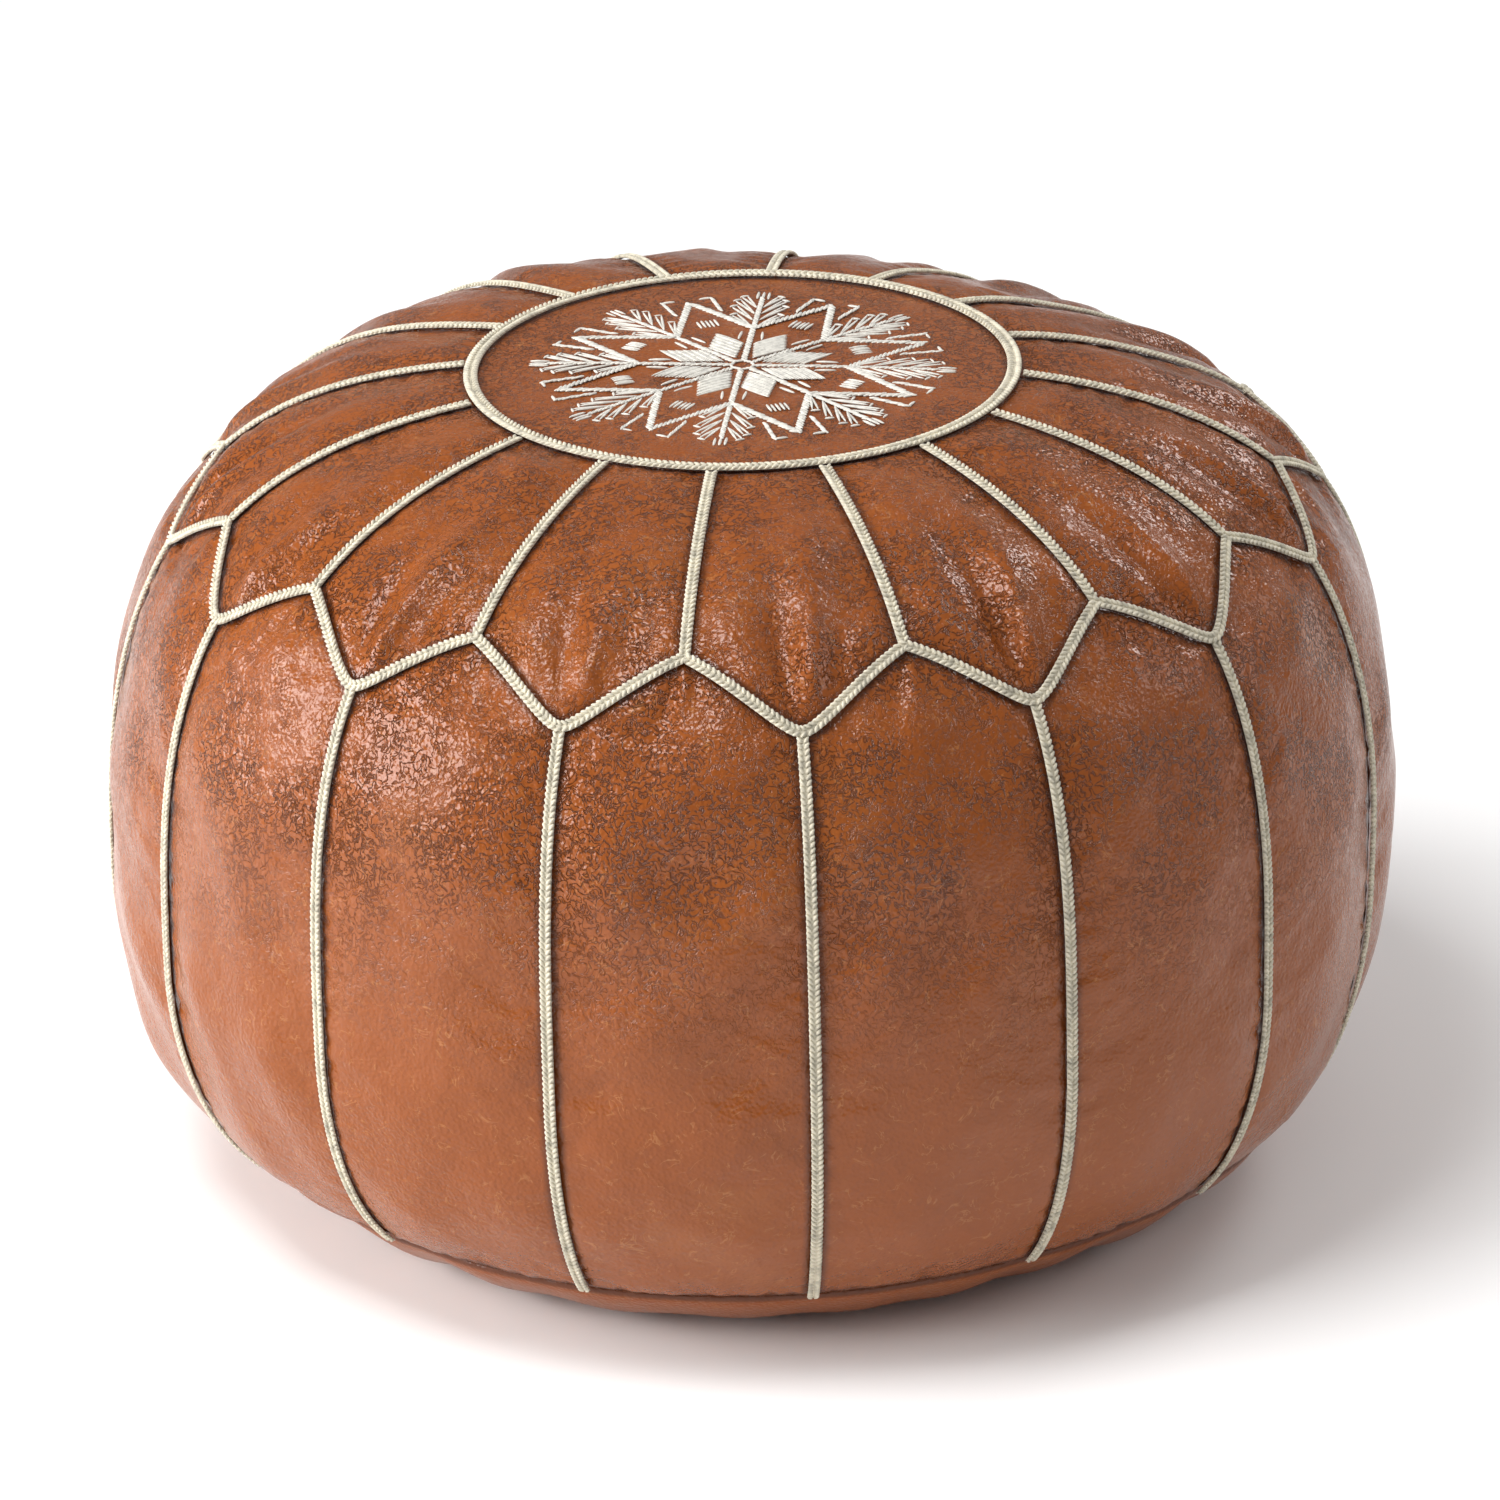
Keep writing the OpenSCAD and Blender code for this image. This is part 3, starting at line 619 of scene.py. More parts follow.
class POUF_OT_leather(bpy.types.Operator):
    """Sew the petals, side panels and medallion and blow them up"""

    bl_idname = "pouf.leather"
    bl_label = "Leather Cover"

    def execute(self, context):
        shape = cover()
        skin = Skin(shape)
        colours = shape.tan, shape.dark_tan, shape.pale_tan
        hide = waxed_leather("waxed tan hide", *colours)
        panels = []
        for k in range(shape.panels):
            panels.append(Panel(skin, f"petal_{k + 1:02d}", (2 * k + 1) * skin.half, "petal", k))
            panels.append(Panel(skin, f"side_panel_{k + 1:02d}", 2 * k * skin.half, "side", k))
        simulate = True
        grids, faces, count = [], [], 0
        for panel in panels:
            # Each panel starts tucked 1.5 mm in at its seams and rises to its full depth 10 mm from them.
            plump = 1 - np.exp(-panel.to_seam / 0.010)
            grids.append(panel.points(-0.0015 + (0.45 if simulate else 1.0) * shape.seam_depth * plump))
            faces.append(grid_faces(panel.columns, panel.rows) + count)
            count += panel.u.size
        if simulate:
            pins = np.concatenate([panel.edge().ravel() for panel in panels])
            sewn = np.concatenate([grid.reshape(-1, 3) for grid in grids])
            blown = inflate(sewn, np.concatenate(faces), pins, shape.slack)
            start = 0
            for k, grid in enumerate(grids):
                size = grid.shape[0] * grid.shape[1]
                grids[k] = blown[start : start + size].reshape(grid.shape)
                start += size
        for panel, grid in zip(panels, grids):
            grid = finer(grid)
            panel.lay(2 * panel.columns, 2 * panel.rows)
            grid = grid + panel.folds(shape)[..., None] * panel.normals()
            faces = grid_faces(panel.columns, panel.rows)
            seam = np.exp(-panel.to_seam / SEAM_SHADE)
            sew_leather(panel.node + "_leather", panel.node, grid.reshape(-1, 3), faces, seam, shape.leather, hide)
        self.medallion(shape, skin, waxed_leather("waxed tan hide of the crown", *colours, gloss=(0.30, 0.42)))
        return {"FINISHED"}

    def medallion(self, shape, skin, hide):
        """A round piece that crowns a little over its stuffing, with three shallow waves round it."""
        rings, spokes = 40, 128
        radius = shape.medallion_radius - EDGE
        edge = skin.point(np.array([0.0]), np.array([0.0]), -0.0012)[0][2]
        crown = MEDALLION_TOP + 0.0012
        turn = np.linspace(0, 2 * math.pi, spokes, endpoint=False)
        points, seam = [[0.0, 0.0, crown]], [0.0]
        for k in range(1, rings + 1):
            share = math.sin(0.5 * math.pi * k / rings)
            z = medallion_height(share, edge, crown)
            swell = 0.0004 * np.sin(3 * turn + 1.0) * math.sin(math.pi * share)
            x, y = radius * share * np.cos(turn), radius * share * np.sin(turn)
            points += np.stack([x, y, z + swell], -1).tolist()
            seam += [math.exp(-radius * (1 - share) / SEAM_SHADE)] * spokes
        ring = lambda k, j: 1 + (k - 1) * spokes + j % spokes
        faces = [[0, ring(1, j), ring(1, j + 1)] for j in range(spokes)]
        for k in range(1, rings):
            faces += [[ring(k, j), ring(k + 1, j), ring(k + 1, j + 1), ring(k, j + 1)] for j in range(spokes)]
        sew_leather("medallion_leather", "medallion", points, faces, seam, shape.leather, hide)


def medallion_height(share, edge, crown):
    """Height of the medallion's face at a share of its radius."""
    return edge + (crown - edge) * (1 - share**4) ** 0.8


# ---- Plaits --------------------------------------------------------------------------
def bead(name, size, segments=6, rings=5):
    """One strand of a plait as it shows between two crossings: a long bead, thinner at its ends."""
    bpy.ops.object.select_all(action="DESELECT")
    bpy.ops.mesh.primitive_uv_sphere_add(segments=segments, ring_count=rings, radius=0.5, location=(0, 0, 0))
    piece = bpy.context.object
    piece.name = name
    bpy.ops.object.mode_set(mode="EDIT")
    bpy.ops.mesh.select_all(action="SELECT")
    bpy.ops.transform.rotate(value=math.pi / 2, orient_axis="Y", center_override=(0, 0, 0))
    bpy.ops.transform.resize(value=size, center_override=(0, 0, 0))
    bpy.ops.object.mode_set(mode="OBJECT")
    points = np.zeros(len(piece.data.vertices) * 3)
    piece.data.vertices.foreach_get("co", points)
    faces = [list(p.vertices) for p in piece.data.polygons]
    bpy.data.objects.remove(piece)
    return points.reshape(-1, 3), faces


def copies(shape, places, tangents, normals):
    """Copies of a bead at each place, its length along the tangent and its height along the normal."""
    points, faces = shape
    side = np.cross(normals, tangents)
    side /= np.linalg.norm(side, axis=1, keepdims=True)
    up = np.cross(tangents, side)
    out = places[:, None, :]
    for axis, way in enumerate((tangents, side, up)):
        out = out + points[None, :, axis : axis + 1] * way[:, None, :]
    all_faces = []
    for k in range(len(places)):
        start = k * len(points)
        all_faces += [[i + start for i in f] for f in faces]
    return out.reshape(-1, 3), all_faces


def unit(v):
    """Vectors of length one."""
    return v / np.maximum(np.linalg.norm(v, axis=-1, keepdims=True), 1e-12)


def resample(points, normals, step, closed=False):
    """Even places along a path, with the path's tangent and the surface normal at each."""
    if closed:
        points = np.vstack([points, points[:1]])
        normals = np.vstack([normals, normals[:1]])
    s = np.concatenate([[0.0], np.cumsum(np.linalg.norm(np.diff(points, axis=0), axis=1))])
    count = max(2, int(round(s[-1] / step)))
    at = (np.arange(count) + 0.5) * s[-1] / count
    pick = lambda a, t: np.stack([np.interp(t, s, a[:, k]) for k in range(3)], -1)
    after, before = np.minimum(at + step * 0.4, s[-1]), np.maximum(at - step * 0.4, 0)
    ahead = unit(pick(points, after) - pick(points, before))
    return pick(points, at), ahead, unit(pick(normals, at))


def core_strip(points, normals, width, height, closed):
    """The plait's flat core, which fills the space under its strands."""
    tangents = np.gradient(points, axis=0)
    if closed:
        tangents = np.roll(points, -1, axis=0) - np.roll(points, 1, axis=0)
    tangents = unit(tangents)
    side = unit(np.cross(normals, tangents))
    up = unit(np.cross(tangents, side))
    turn = np.linspace(0, 2 * math.pi, 8, endpoint=False)
    ring = points[:, None, :] + (width / 2 * np.cos(turn))[None, :, None] * side[:, None, :]
    ring = ring + (height / 2 * np.sin(turn))[None, :, None] * up[:, None, :]
    count = len(points)
    faces = []
    for k in range(count if closed else count - 1):
        a, b = k * 8, (k + 1) % count * 8
        faces += [[a + j, a + (j + 1) % 8, b + (j + 1) % 8, b + j] for j in range(8)]
    if not closed:
        faces += [list(reversed(range(8))), [(count - 1) * 8 + j for j in range(8)]]
    return ring.reshape(-1, 3), faces


def plait(paths, width, pitch):
    """A flat two-row plait along each path: slanted strands that meet in a row of V shapes. A real one has a strand
    every 1.6 mm, which would not show, so the pitch is coarser."""
    strand = bead("strand", (0.66 * width, 0.66 * pitch, 0.0020), 6, 4)
    slant = math.radians(38)
    points, faces, count = [], [], 0
    for path, normals, closed in paths:
        at, ahead, up = resample(path, normals, pitch, closed)
        side = unit(np.cross(up, ahead))
        parts = [core_strip(path, normals, 0.86 * width, 0.0009, closed)]
        for row in (-1, 1):
            tangent = unit(math.cos(slant) * ahead - row * math.sin(slant) * side)
            lean = unit(up + row * 0.35 * side)
            parts.append(copies(strand, at + row * 0.25 * width * side + 0.0005 * up, tangent, lean))
        for p, f in parts:
            points.append(p)
            faces += [[i + count for i in face] for face in f]
            count += len(p)
    return np.concatenate(points), faces


def braid_piece(name, node, paths, width, pitch, material):
    """A run of plaits that stands for one CAD node."""
    belong(smooth(mesh_piece(name, *plait(paths, width, pitch))), material, node)


class POUF_OT_braids(bpy.types.Operator):
    """Plait the braids over the seams"""

    bl_idname = "pouf.braids"
    bl_label = "Braids"

    def execute(self, context):
        shape, look = cover(), context.scene.pouf_braid
        skin = Skin(shape)
        cotton = plaited_cotton("plaited cream cotton", look.cream)
        lift = 0.0002  # just clear of the leather, so that the plait lies on the seam
        half_w = look.width / 2
        turn = np.linspace(0, 2 * math.pi, 192, endpoint=False)
        ring = skin.point(turn, np.zeros(192), 0.0)
        ring[:, 2] = MEDALLION_TOP + 0.0004
        upright = np.tile([0.0, 0.0, 1.0], (192, 1))
        round_seam = [(ring, upright, True)]
        braid_piece("medallion_plait", "medallion_braid", round_seam, look.ring_width, look.pitch * 1.1, cotton)

        def path(angle, along):
            angle, along = np.broadcast_arrays(angle, along)
            return skin.point(angle, along, lift), skin.normal(angle, along), False

        radial, side = [], []
        for k in range(shape.panels):
            seam = 2 * k * skin.half
            tip = seam + skin.half
            radial.append(path(seam, np.linspace(look.ring_width / 2 + 0.0006, skin.peak - 0.6 * half_w, 30)))
            side.append(path(tip, np.linspace(skin.tip + 0.8 * half_w, skin.base - 0.0015, 60)))
        across = np.linspace(-1, 1, 61)
        angle = np.concatenate([(2 * k + 1) * skin.half + across[:-1] * skin.half for k in range(shape.panels)])
        along = np.tile(skin.point_edge(np.abs(across[:-1])), shape.panels)
        zigzag = [(skin.point(angle, along, lift + 0.0003), skin.normal(angle, along), True)]
        braid_piece("petal_seam_plaits", "petal_seam_braids", radial, look.width, look.pitch, cotton)
        braid_piece("zigzag_plait", "zigzag_braid", zigzag, look.width, look.pitch, cotton)
        braid_piece("side_seam_plaits", "side_seam_braids", side, look.width, look.pitch, cotton)
        return {"FINISHED"}


# ---- Embroidery ---------------------------------------------------------------------
def polar(r, a):
    """A place on the medallion, or a step across it, from a length and an angle."""
    return np.array([r * math.cos(a), r * math.sin(a)])


class Stitches:
    """Collects stitches on the medallion, as places and directions for one bead."""

    def __init__(self):
        self.rows = []

    def thread(self, start, end, width, lift=0.0):
        """One stitch."""
        self.rows.append((np.array(start, float), np.array(end, float), width, lift))

    def rope(self, start, end, width=0.0024, pitch=0.0019, thread=0.0013):
        """A line of slanted stitches, each over the end of the last."""
        start, end = np.array(start, float), np.array(end, float)
        run = end - start
        size = np.linalg.norm(run)
        ahead = run / size
        across = np.array([-ahead[1], ahead[0]])
        count = max(2, int(round(size / pitch)))
        for k in range(count):
            mid = start + run * (k + 0.5) / count
            reach = ahead * pitch * 0.85 + across * width * 0.32
            self.thread(mid - reach, mid + reach, thread)

    def loop(self, root, tip, spread=0.0011):
        """A long narrow loop: two threads side by side that close at the tip."""
        root, tip = np.array(root, float), np.array(tip, float)
        ahead = (tip - root) / np.linalg.norm(tip - root)
        across = np.array([-ahead[1], ahead[0]]) * spread
        self.thread(root, tip - ahead * 0.0006 + across * 0.8, 0.0012)
        self.thread(root, tip - ahead * 0.0006 - across * 0.8, 0.0012)
        self.thread(tip - across * 1.1, tip + across * 1.1, 0.0012)

    def satin(self, corners, pitch=0.00105, width=0.0011):
        """Fills a four-cornered shape with threads parallel to its first side."""
        a, b, c, d = [np.array(p, float) for p in corners]
        count = max(2, int(round(np.linalg.norm(d - a) / pitch)))
        for k in range(count + 1):
            t = k / count
            self.thread(a + (d - a) * t, b + (c - b) * t, width, 0.0001)


def star_stitches(look):
    """An eight-pointed star in rope stitch, with a leaf on each line, satin lozenges round the middle and small
    blocks and hooks between the leaves."""
    s = Stitches()
    eighth = math.pi / 4
    inner, star, leaf = look.inner_radius, look.star_radius, look.leaf_radius
    for k in range(8):
        a = k * eighth
        tip = a + eighth / 2
        for side in (-1, 1):
            s.rope(polar(inner, a), polar(star, a + side * eighth / 2), 0.0042, 0.0023, 0.0017)
        s.rope(polar(0.0045, a), polar(inner - 0.001, a), 0.0032, 0.0021, 0.0015)
        # The leaf: a rope stem with pairs of narrow loops, longest in the middle.
        s.rope(polar(inner + 0.0022, a), polar(leaf - 0.006, a), 0.0026, 0.0019, 0.0014)
        for step, (up, reach) in enumerate(((0.002, 0.0165), (0.0095, 0.0190), (0.0170, 0.0185), (0.0245, 0.0150))):
            root = polar(inner + up, a)
            for side in (-1, 1):
                lean = a + side * (0.62 - 0.03 * step)
                s.loop(root + polar(0.0012, a + side * math.pi / 2), root + polar(reach, lean), 0.0015)
        for shift in (-0.0022, 0.0, 0.0022):
            offset = polar(shift, a + math.pi / 2)
            s.thread(polar(leaf - 0.0065, a) + offset, polar(leaf + 0.001, a) + offset, 0.0014)
        # Lozenges, with their threads laid the other way in every second one.
        near, far, half = 0.0085, inner - 0.0045, 0.0074
        mid = (near + far) / 2
        left, right = polar(half, tip - math.pi / 2), polar(half, tip + math.pi / 2)
        corners = [polar(near, tip), polar(mid, tip) + left, polar(far, tip), polar(mid, tip) + right]
        s.satin(corners if k % 2 else corners[1:] + corners[:1], 0.00135 if k % 4 == 0 else 0.00105, 0.0012)
        # A block of short threads inside each point.
        near, far = polar(inner + 0.0035, tip), polar(inner + 0.0035 + 0.0075, tip)
        left, right = polar(0.0036, tip - math.pi / 2), polar(0.0036, tip + math.pi / 2)
        s.satin([near + left, far + left, far + right, near + right], 0.0017, 0.0012)
        # A stepped hook on each side of the star's point.
        for side in (-1, 1):
            root = polar(star - 0.012, tip + side * 0.150)
            bend = root + polar(0.0165, tip + side * 0.05)
            s.rope(root, bend, 0.0018, 0.0019, 0.0013)
            s.thread(bend, bend + polar(0.0050, tip - side * math.pi / 2), 0.0015)
        for side in (-1, 1):
            s.thread(polar(inner - 0.004, a + side * 0.11), polar(inner - 0.0125, a + side * 0.16), 0.0013)
    # A small ring of threads in the very middle.
    for k in range(8):
        a = k * eighth + eighth / 2
        s.thread(polar(0.0050, a - 0.5), polar(0.0050, a + 0.5), 0.0013)
    return s.rows


class POUF_OT_embroidery(bpy.types.Operator):
    """Embroider the star on the medallion"""

    bl_idname = "pouf.embroidery"
    bl_label = "Star Embroidery"

    def execute(self, context):
        look = context.scene.pouf_embroidery
        silk = silk_thread("off-white silk floss", look.silk)
        stitch, quads = bead("stitch", (1.0, 1.0, 1.0))
        rows = star_stitches(look)
        points, faces = [], []
        top = MEDALLION_TOP + 0.0014
        for k, (start, end, width, lift) in enumerate(rows):
            run = end - start
            size = np.linalg.norm(run)
            ahead = np.array([run[0] / size, run[1] / size, 0.0])
            side = np.array([-ahead[1], ahead[0], 0.0])
            mid = (start + end) / 2
            share = np.linalg.norm(mid) / cover().medallion_radius
            z = medallion_height(share, top - 0.0031, top) + lift + 0.00012 * (k % 3)
            p = stitch[:, 0:1] * (size + 0.6 * width) * ahead + stitch[:, 1:2] * width * side
            p = p + np.array([mid[0], mid[1], z]) + stitch[:, 2:3] * np.array([0, 0, 0.0011])
            faces += [[i + len(points) * len(stitch) for i in f] for f in quads]
            points.append(p)
        piece = smooth(mesh_piece("star_embroidery_silk", np.concatenate(points), faces))
        belong(piece, silk, "star_embroidery")
        return {"FINISHED"}


# ---- Base -----------------------------------------------------------------------------
class POUF_OT_base(bpy.types.Operator):
    """Sew the base's rims and panels, with a row of stitches along the zip"""

    bl_idname = "pouf.base"
    bl_label = "Base"

    def execute(self, context):
        shape, look = cover(), context.scene.pouf_zip
        skin = Skin(shape)
        colours = shape.tan, shape.dark_tan, shape.pale_tan
        hide = waxed_leather("waxed tan hide of the base", *colours, turn=1.1, gloss=(0.26, 0.38))
        for side, name in ((-1, "front"), (1, "back")):
            self.rim(shape, skin, side, name, hide)
            self.panel(shape, look, side, name, hide)
        self.stitches(look, silk_thread("waxed cotton thread", look.stitch))
        return {"FINISHED"}

    def rim(self, shape, skin, side, name, hide):
        """Half a ring of leather, from the base seam round the foot and up to the recess."""
        down = np.linspace(skin.base + EDGE, skin.foot, 22)
        foot, inside = shape.foot_radius, shape.foot_radius - 0.018
        flat_r, rise_r = np.linspace(foot, inside, 6)[1:], np.linspace(inside, RECESS_RADIUS, 7)[1:]
        r = np.concatenate([np.interp(down, skin.s, skin.r), flat_r, rise_r])
        z = np.concatenate([np.interp(down, skin.s, skin.z), np.zeros(5), np.linspace(0.0, RECESS_HEIGHT, 7)[1:]])
        step_r, step_z = np.gradient(r), np.gradient(z)
        size = np.hypot(step_r, step_z)
        out_r, out_z = -step_z / size, step_r / size
        walk = np.concatenate([[0.0], np.cumsum(np.hypot(np.diff(r), np.diff(z)))])
        columns = 180
        half = np.linspace(-0.5 * math.pi, 0.5 * math.pi, columns + 1)[None, :]
        turn = half * (1 - 0.0002 / r[:, None]) + (math.pi if side > 0 else 0.0)
        # The rim crumples a little where the pouf's weight rests on it: waves 40 to 90 mm long.
        draw = np.random.default_rng(41 + side)
        wave = np.zeros_like(turn)
        for _ in range(6):
            round_it = turn * draw.integers(14, 34) + draw.uniform(0, 6.28)
            wave += np.sin(round_it + 22.0 * walk[:, None] * draw.uniform(-1, 1))
        span = down[-1] - down[0]
        soft = np.clip(walk / span, 0, 1)
        # The edge is tucked 1.6 mm in at the seam, and the leather swells past it and flattens at the foot.
        lift = -0.0016 + 0.0019 * (1 - np.exp(-walk / 0.0030)) * (1 - soft**3) + 0.0016 * soft**3
        lift = lift[:, None] + 0.00042 * wave * (np.sin(math.pi * soft) ** 0.8 * (soft < 1))[:, None]
        lift = lift + skin.uneven(turn, skin.base + walk[:, None]) * (1 - soft**2)[:, None]
        rr, zz = r[:, None] + lift * out_r[:, None], np.maximum(z[:, None] + lift * out_z[:, None], 0.0)
        points = np.stack([rr * np.sin(turn), -rr * np.cos(turn), zz], -1)
        to_seam = np.minimum(walk, walk[-1] - walk)[:, None] + 0 * turn
        node, faces, seam = f"base_rim_{name}", grid_faces(columns, len(r) - 1), np.exp(-to_seam / 0.0030)
        sew_leather(node + "_leather", node, points.reshape(-1, 3), faces, seam, shape.leather, hide)

    def panel(self, shape, look, side, name, hide):
        """Half of the base's disc, with the slot for the zip, swelling a little between its seams."""
        radius = RECESS_RADIUS - 0.0004
        half_l, half_w = look.slot_length / 2, look.slot_width / 2
        inner = np.linspace(-half_l, half_l, 61)
        outer = half_l + 0.0004 + (radius - 0.0006 - half_l - 0.0004) * np.linspace(0, 1, 15) ** 0.7
        x = np.concatenate([-outer[::-1], inner, outer])[None, :]
        over_slot = np.abs(x) <= half_l + 1e-6
        near = np.where(over_slot, half_w, 0.0002)
        far = np.sqrt(np.maximum(radius**2 - x**2, near**2))
        v = np.linspace(0, 1, 37)[:, None]
        y = near + v * (far - near)
        past_end = np.hypot(np.maximum(np.abs(x) - half_l, 0), np.maximum(y - half_w, 0))
        to_slot = np.where(over_slot, y - half_w, past_end)
        to_edge = radius - np.hypot(x, y)
        to_seam = np.maximum(np.minimum(to_edge, np.where(np.abs(x) <= half_l, to_slot, y)), 0.0)
        # A groove 3 mm from the slot, where the stitches pull the leather down on to the tape.
        stitched = np.exp(-(((np.minimum(to_slot, 0.02) - 0.003) / 0.0011) ** 2)) * (np.abs(x) < half_l + 0.004)
        swell = 0.0040 * (1 - np.exp(-np.maximum(np.minimum(to_edge, to_slot) - 0.004, 0) / 0.016))
        swell = swell + 0.0004 * np.sin(x * 120 + y * 70) * (1 - np.exp(-to_seam / 0.02))
        z = RECESS_HEIGHT - swell + 0.00035 * stitched
        points = np.stack([x + 0 * y, side * y, z + 0 * y], -1)
        faces = grid_faces(x.size - 1, 36)
        faces = faces if side > 0 else faces[:, ::-1]
        node, seam = f"base_panel_{name}", np.exp(-to_seam / 0.0030) * 0.9
        sew_leather(node + "_leather", node, points.reshape(-1, 3), faces, seam, shape.leather, hide)

    def stitches(self, look, thread):
        """Lockstitches 3.6 mm long and 5 mm apart, all the way round the slot."""
        long_run, short_run = look.slot_length / 2 + 0.0030, look.slot_width / 2 + 0.0030
        places, ways = [], []
        count = int(2 * long_run / 0.005)
        for k in range(count + 1):
            for side in (-1, 1):
                places.append([-long_run + 2 * long_run * k / count, side * short_run, RECESS_HEIGHT - 0.0002])
                ways.append([1.0, 0.0, 0.0])
        for side in (-1, 1):
            for y in (-0.0045, 0.0, 0.0045):
                places.append([side * long_run, y, RECESS_HEIGHT - 0.0002])
                ways.append([0.0, 1.0, 0.0])
        stitch = bead("lockstitch", (0.0036, 0.0009, 0.0010))
        outward = np.tile([0.0, 0.0, -1.0], (len(places), 1))
        points, faces = copies(stitch, np.array(places), np.array(ways), outward)
        belong(smooth(mesh_piece("zip_topstitching", points, faces)), thread)


class POUF_OT_zip(bpy.types.Operator):
    """Finish the zip's tapes, coils, stops, slider and pull"""

    bl_idname = "pouf.zip"
    bl_label = "Zip"

    def execute(self, context):
        look = context.scene.pouf_zip
        tape = woven_tape("woven polyester tape", look.tape)
        coil = moulded_nylon("moulded nylon coil", look.coil)
        brass = aged_brass("aged brass", look.brass)
        for node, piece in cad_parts.items():
            if node.startswith("zip"):
                wear(piece, tape if "tape" in node else coil if "coil" in node else brass)
        return {"FINISHED"}


class POUF_OT_inside(bpy.types.Operator):
    """Sew the cotton liner and fill it"""

    bl_idname = "pouf.inside"
    bl_label = "Liner and Filling"

    def execute(self, context):
        skin = Skin(cover())
        calico = plain_cotton("unbleached calico", "#e6dfcd", 700.0)
        fibre = plain_cotton("carded cotton fibre", "#ece8dc", 120.0)
        deep = 0.0105  # how far the bag lies under the cover
        high, low = (np.interp(-z, -skin.z, skin.s) for z in (0.162, 0.092))
        top = np.linspace(0.0, high - 0.0003, 34)
        band = np.linspace(high + 0.0003, low - 0.0003, 12)
        under = np.linspace(low + 0.0003, skin.foot, 24)
        whole = np.linspace(0.0, skin.foot, 60)
        self.bag("liner_top_calico", "liner_top", skin, top, deep, calico, crown=True)
        self.bag("liner_band_calico", "liner_side_band", skin, band, deep, calico)
        self.bag("liner_base_calico", "liner_base", skin, under, deep, calico, floor=True)
        self.bag("cotton_filling", "filling", skin, whole, deep + 0.0014, fibre, crown=True, floor=True)
        return {"FINISHED"}

    def bag(self, name, node, skin, along, deep, material, crown=False, floor=False):
        """A piece of the bag inside the cover: an open sheet gets a thickness, and the filling is a closed body."""
        spokes = 96
        turn = np.linspace(0, 2 * math.pi, spokes, endpoint=False)
        rings = [skin.point(turn, np.full(spokes, s), -deep) for s in along]
        if crown:
            inner = rings[0]
            rings = [inner * [share, share, 1.0] for share in (0.25, 0.5, 0.75, 0.9)] + rings
        if floor:
            flat = deep + 0.0080
            last = np.interp(skin.foot, skin.s, skin.r)
            for r, z in ((last - 0.018, deep), (RECESS_RADIUS - 0.004, flat), (0.090, flat), (0.045, flat)):
                rings.append(np.stack([r * np.sin(turn), -r * np.cos(turn), np.full(spokes, z)], -1))
        points, faces = np.concatenate(rings), []
        for a in range(0, (len(rings) - 1) * spokes, spokes):
            b = a + spokes
            faces += [[a + j, b + j, b + (j + 1) % spokes, a + (j + 1) % spokes] for j in range(spokes)]
        if crown:
            points = np.vstack([points, [[0, 0, rings[0][0][2]]]])
            faces += [[len(points) - 1, j, (j + 1) % spokes] for j in range(spokes)]
        if floor:
            points = np.vstack([points, [[0, 0, rings[-1][0][2]]]])
            base = (len(rings) - 1) * spokes
            faces += [[len(points) - 1, base + (j + 1) % spokes, base + j] for j in range(spokes)]
        piece = mesh_piece(name, points, faces)
        if not (crown and floor):
            thicken(piece, 0.001)
        belong(smooth(piece), material, node)


# ---- Stage ------------------------------------------------------------------------------
def softbox(name, place, target, size, power):
    """A plain white area light that faces its target."""
    data = bpy.data.lights.new(name, "AREA")
    data.shape = "RECTANGLE"
    data.size, data.size_y = size
    data.energy = power
    light = bpy.data.objects.new(name, data)
    bpy.context.collection.objects.link(light)
    light.location = place
    light.rotation_euler = (Vector(target) - Vector(place)).to_track_quat("-Z", "Y").to_euler()


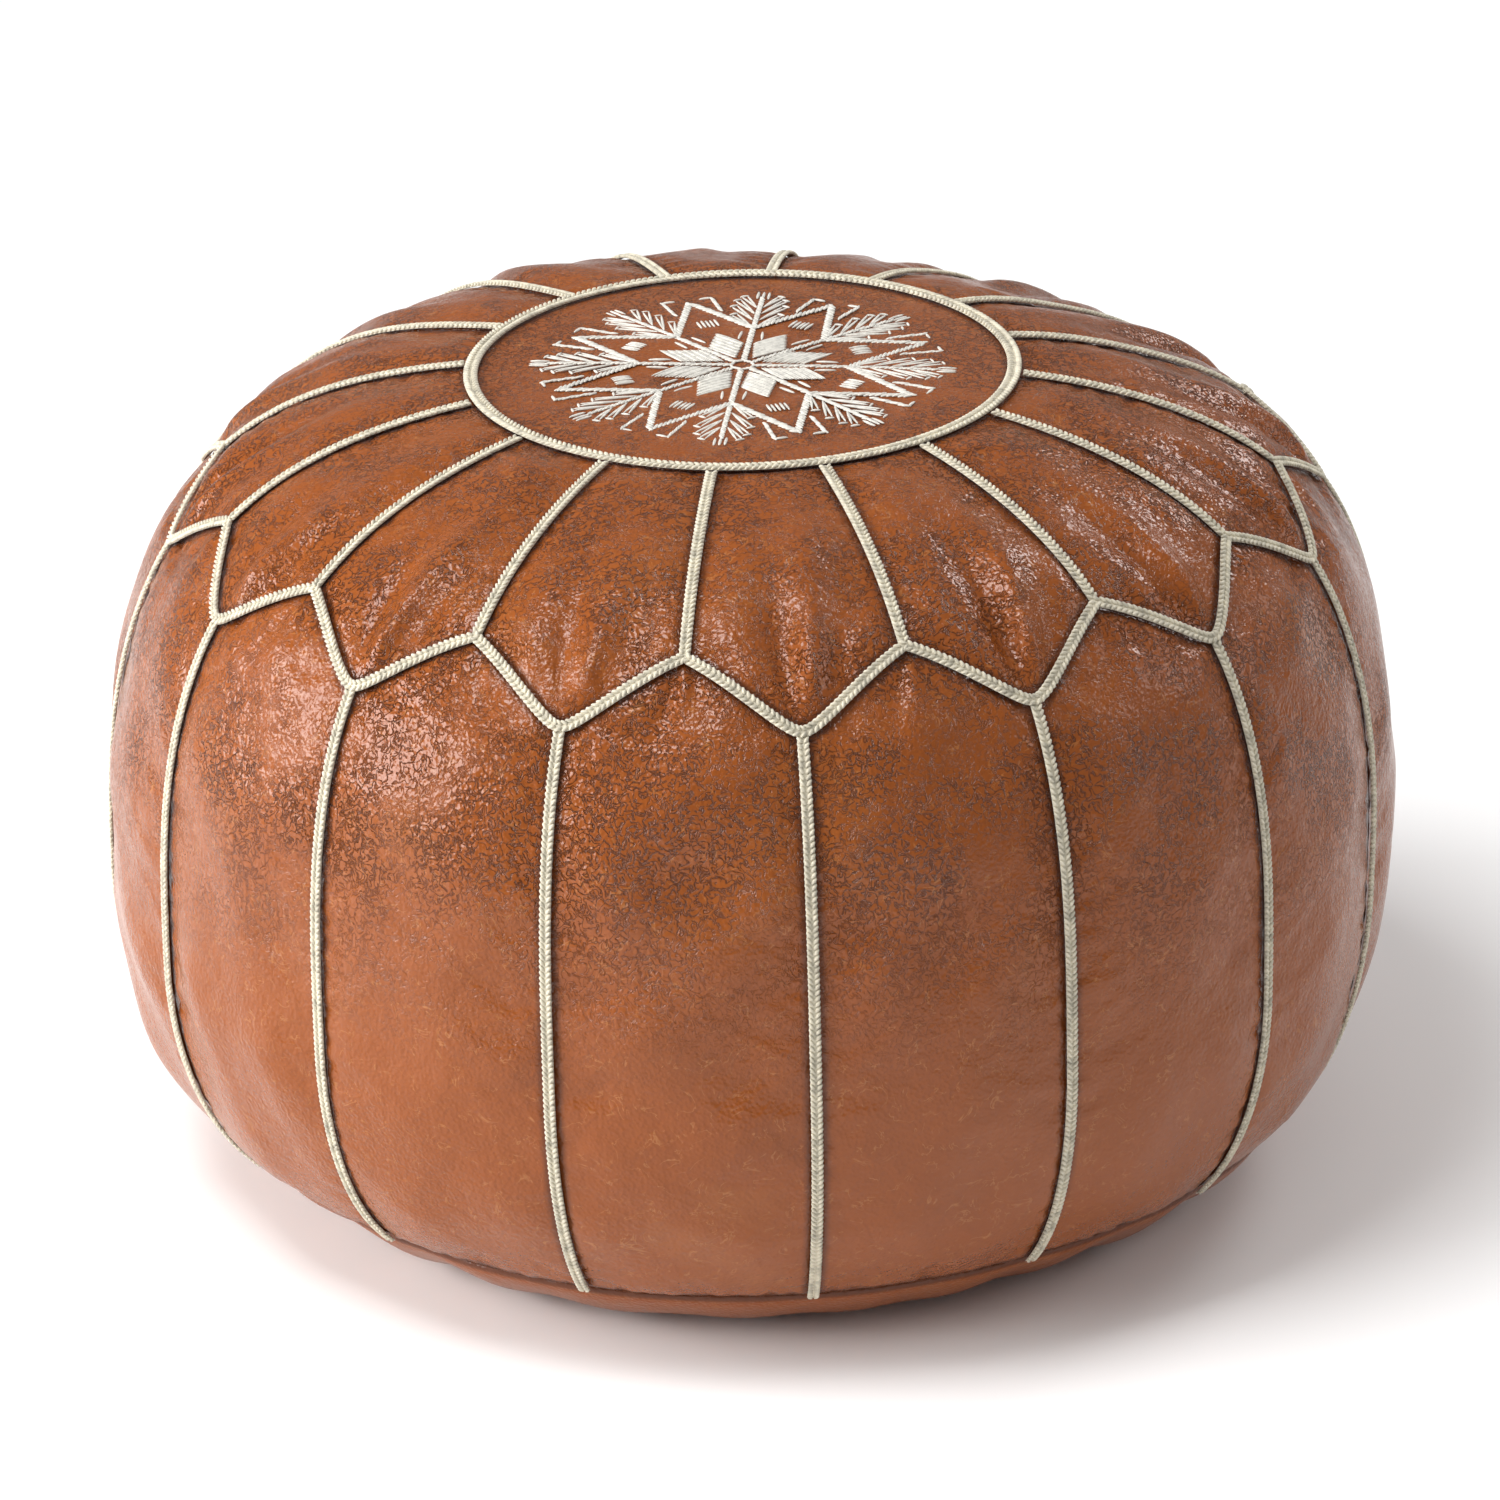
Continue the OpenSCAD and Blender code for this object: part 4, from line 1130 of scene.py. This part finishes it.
class POUF_OT_stage(bpy.types.Operator):
    """Set the floor, the lights and the camera"""

    bl_idname = "pouf.stage"
    bl_label = "Stage"

    def execute(self, context):
        look = context.scene.pouf_stage
        bpy.ops.object.select_all(action="DESELECT")
        bpy.ops.mesh.primitive_plane_add(size=24.0, location=(0, 0, 0))
        floor = context.object
        floor.name = "floor"
        material, _, shader = new_material("matt white floor")
        set_shader(shader, Base_Color=linear(look.floor), Roughness=0.9, Specular_IOR_Level=0.1)
        wear(floor, material)
        world = bpy.data.worlds.new("white studio")
        context.scene.world = world
        world.use_nodes = True
        sky = world.node_tree.nodes["Background"]
        sky.inputs["Color"].default_value = (1, 1, 1, 1)
        sky.inputs["Strength"].default_value = 0.31
        middle = (0, 0, 0.15)
        softbox("key softbox", (-2.18, -0.80, 1.05), middle, (2.2, 1.05), 76)
        softbox("fill softbox", (2.10, 0.10, 1.35), middle, (1.0, 0.8), 7)
        softbox("top softbox", (-0.80, -0.70, 2.85), middle, (1.3, 1.05), 48)
        softbox("back softbox", (1.7, 2.3, 2.0), middle, (1.2, 1.0), 30)
        camera_data = bpy.data.cameras.new("camera")
        camera = bpy.data.objects.new("camera", camera_data)
        context.collection.objects.link(camera)
        camera_data.lens = look.lens
        camera_data.sensor_width = 36.0
        camera_data.clip_end = 60.0
        a, e = look.azimuth, look.elevation
        back = Vector((math.sin(a) * math.cos(e), -math.cos(a) * math.cos(e), math.sin(e)))
        level = Vector((math.cos(a), math.sin(a), 0.0))
        right = level * math.cos(look.roll) - back.cross(level) * math.sin(look.roll)
        up = back.cross(right)
        camera.matrix_world = Matrix((right, up, back)).transposed().to_4x4()
        aim = Vector((0, 0, 0.1615)) - level * 0.0007
        camera.location = aim + back * look.distance
        context.scene.camera = camera
        context.scene.view_settings.view_transform = "Standard"
        return {"FINISHED"}


OPERATORS = (
    POUF_OT_stage,
    POUF_OT_leather,
    POUF_OT_braids,
    POUF_OT_embroidery,
    POUF_OT_base,
    POUF_OT_zip,
    POUF_OT_inside,
)


class VIEW3D_PT_pouf(bpy.types.Panel):
    bl_label = "Leather Pouf"
    bl_space_type = "VIEW_3D"
    bl_region_type = "UI"
    bl_category = "Pouf"

    def draw(self, context):
        for name, group in GROUPS.items():
            box = self.layout.box()
            box.label(text=group.__name__)
            for key in group.__annotations__:
                box.prop(getattr(context.scene, name), key)
        for operator in OPERATORS:
            self.layout.operator(operator.bl_idname)


def register():
    for name, group in GROUPS.items():
        bpy.utils.register_class(group)
        setattr(bpy.types.Scene, name, bpy.props.PointerProperty(type=group))
    for item in (*OPERATORS, VIEW3D_PT_pouf):
        bpy.utils.register_class(item)


def unregister():
    for item in (VIEW3D_PT_pouf, *reversed(OPERATORS)):
        bpy.utils.unregister_class(item)
    for name, group in reversed(GROUPS.items()):
        delattr(bpy.types.Scene, name)
        bpy.utils.unregister_class(group)


def main():
    register()
    bpy.ops.pouf.stage()
    bpy.ops.pouf.leather()
    bpy.ops.pouf.braids()
    bpy.ops.pouf.embroidery()
    bpy.ops.pouf.base()
    bpy.ops.pouf.zip()
    bpy.ops.pouf.inside()


if __name__ == "__main__":
    main()
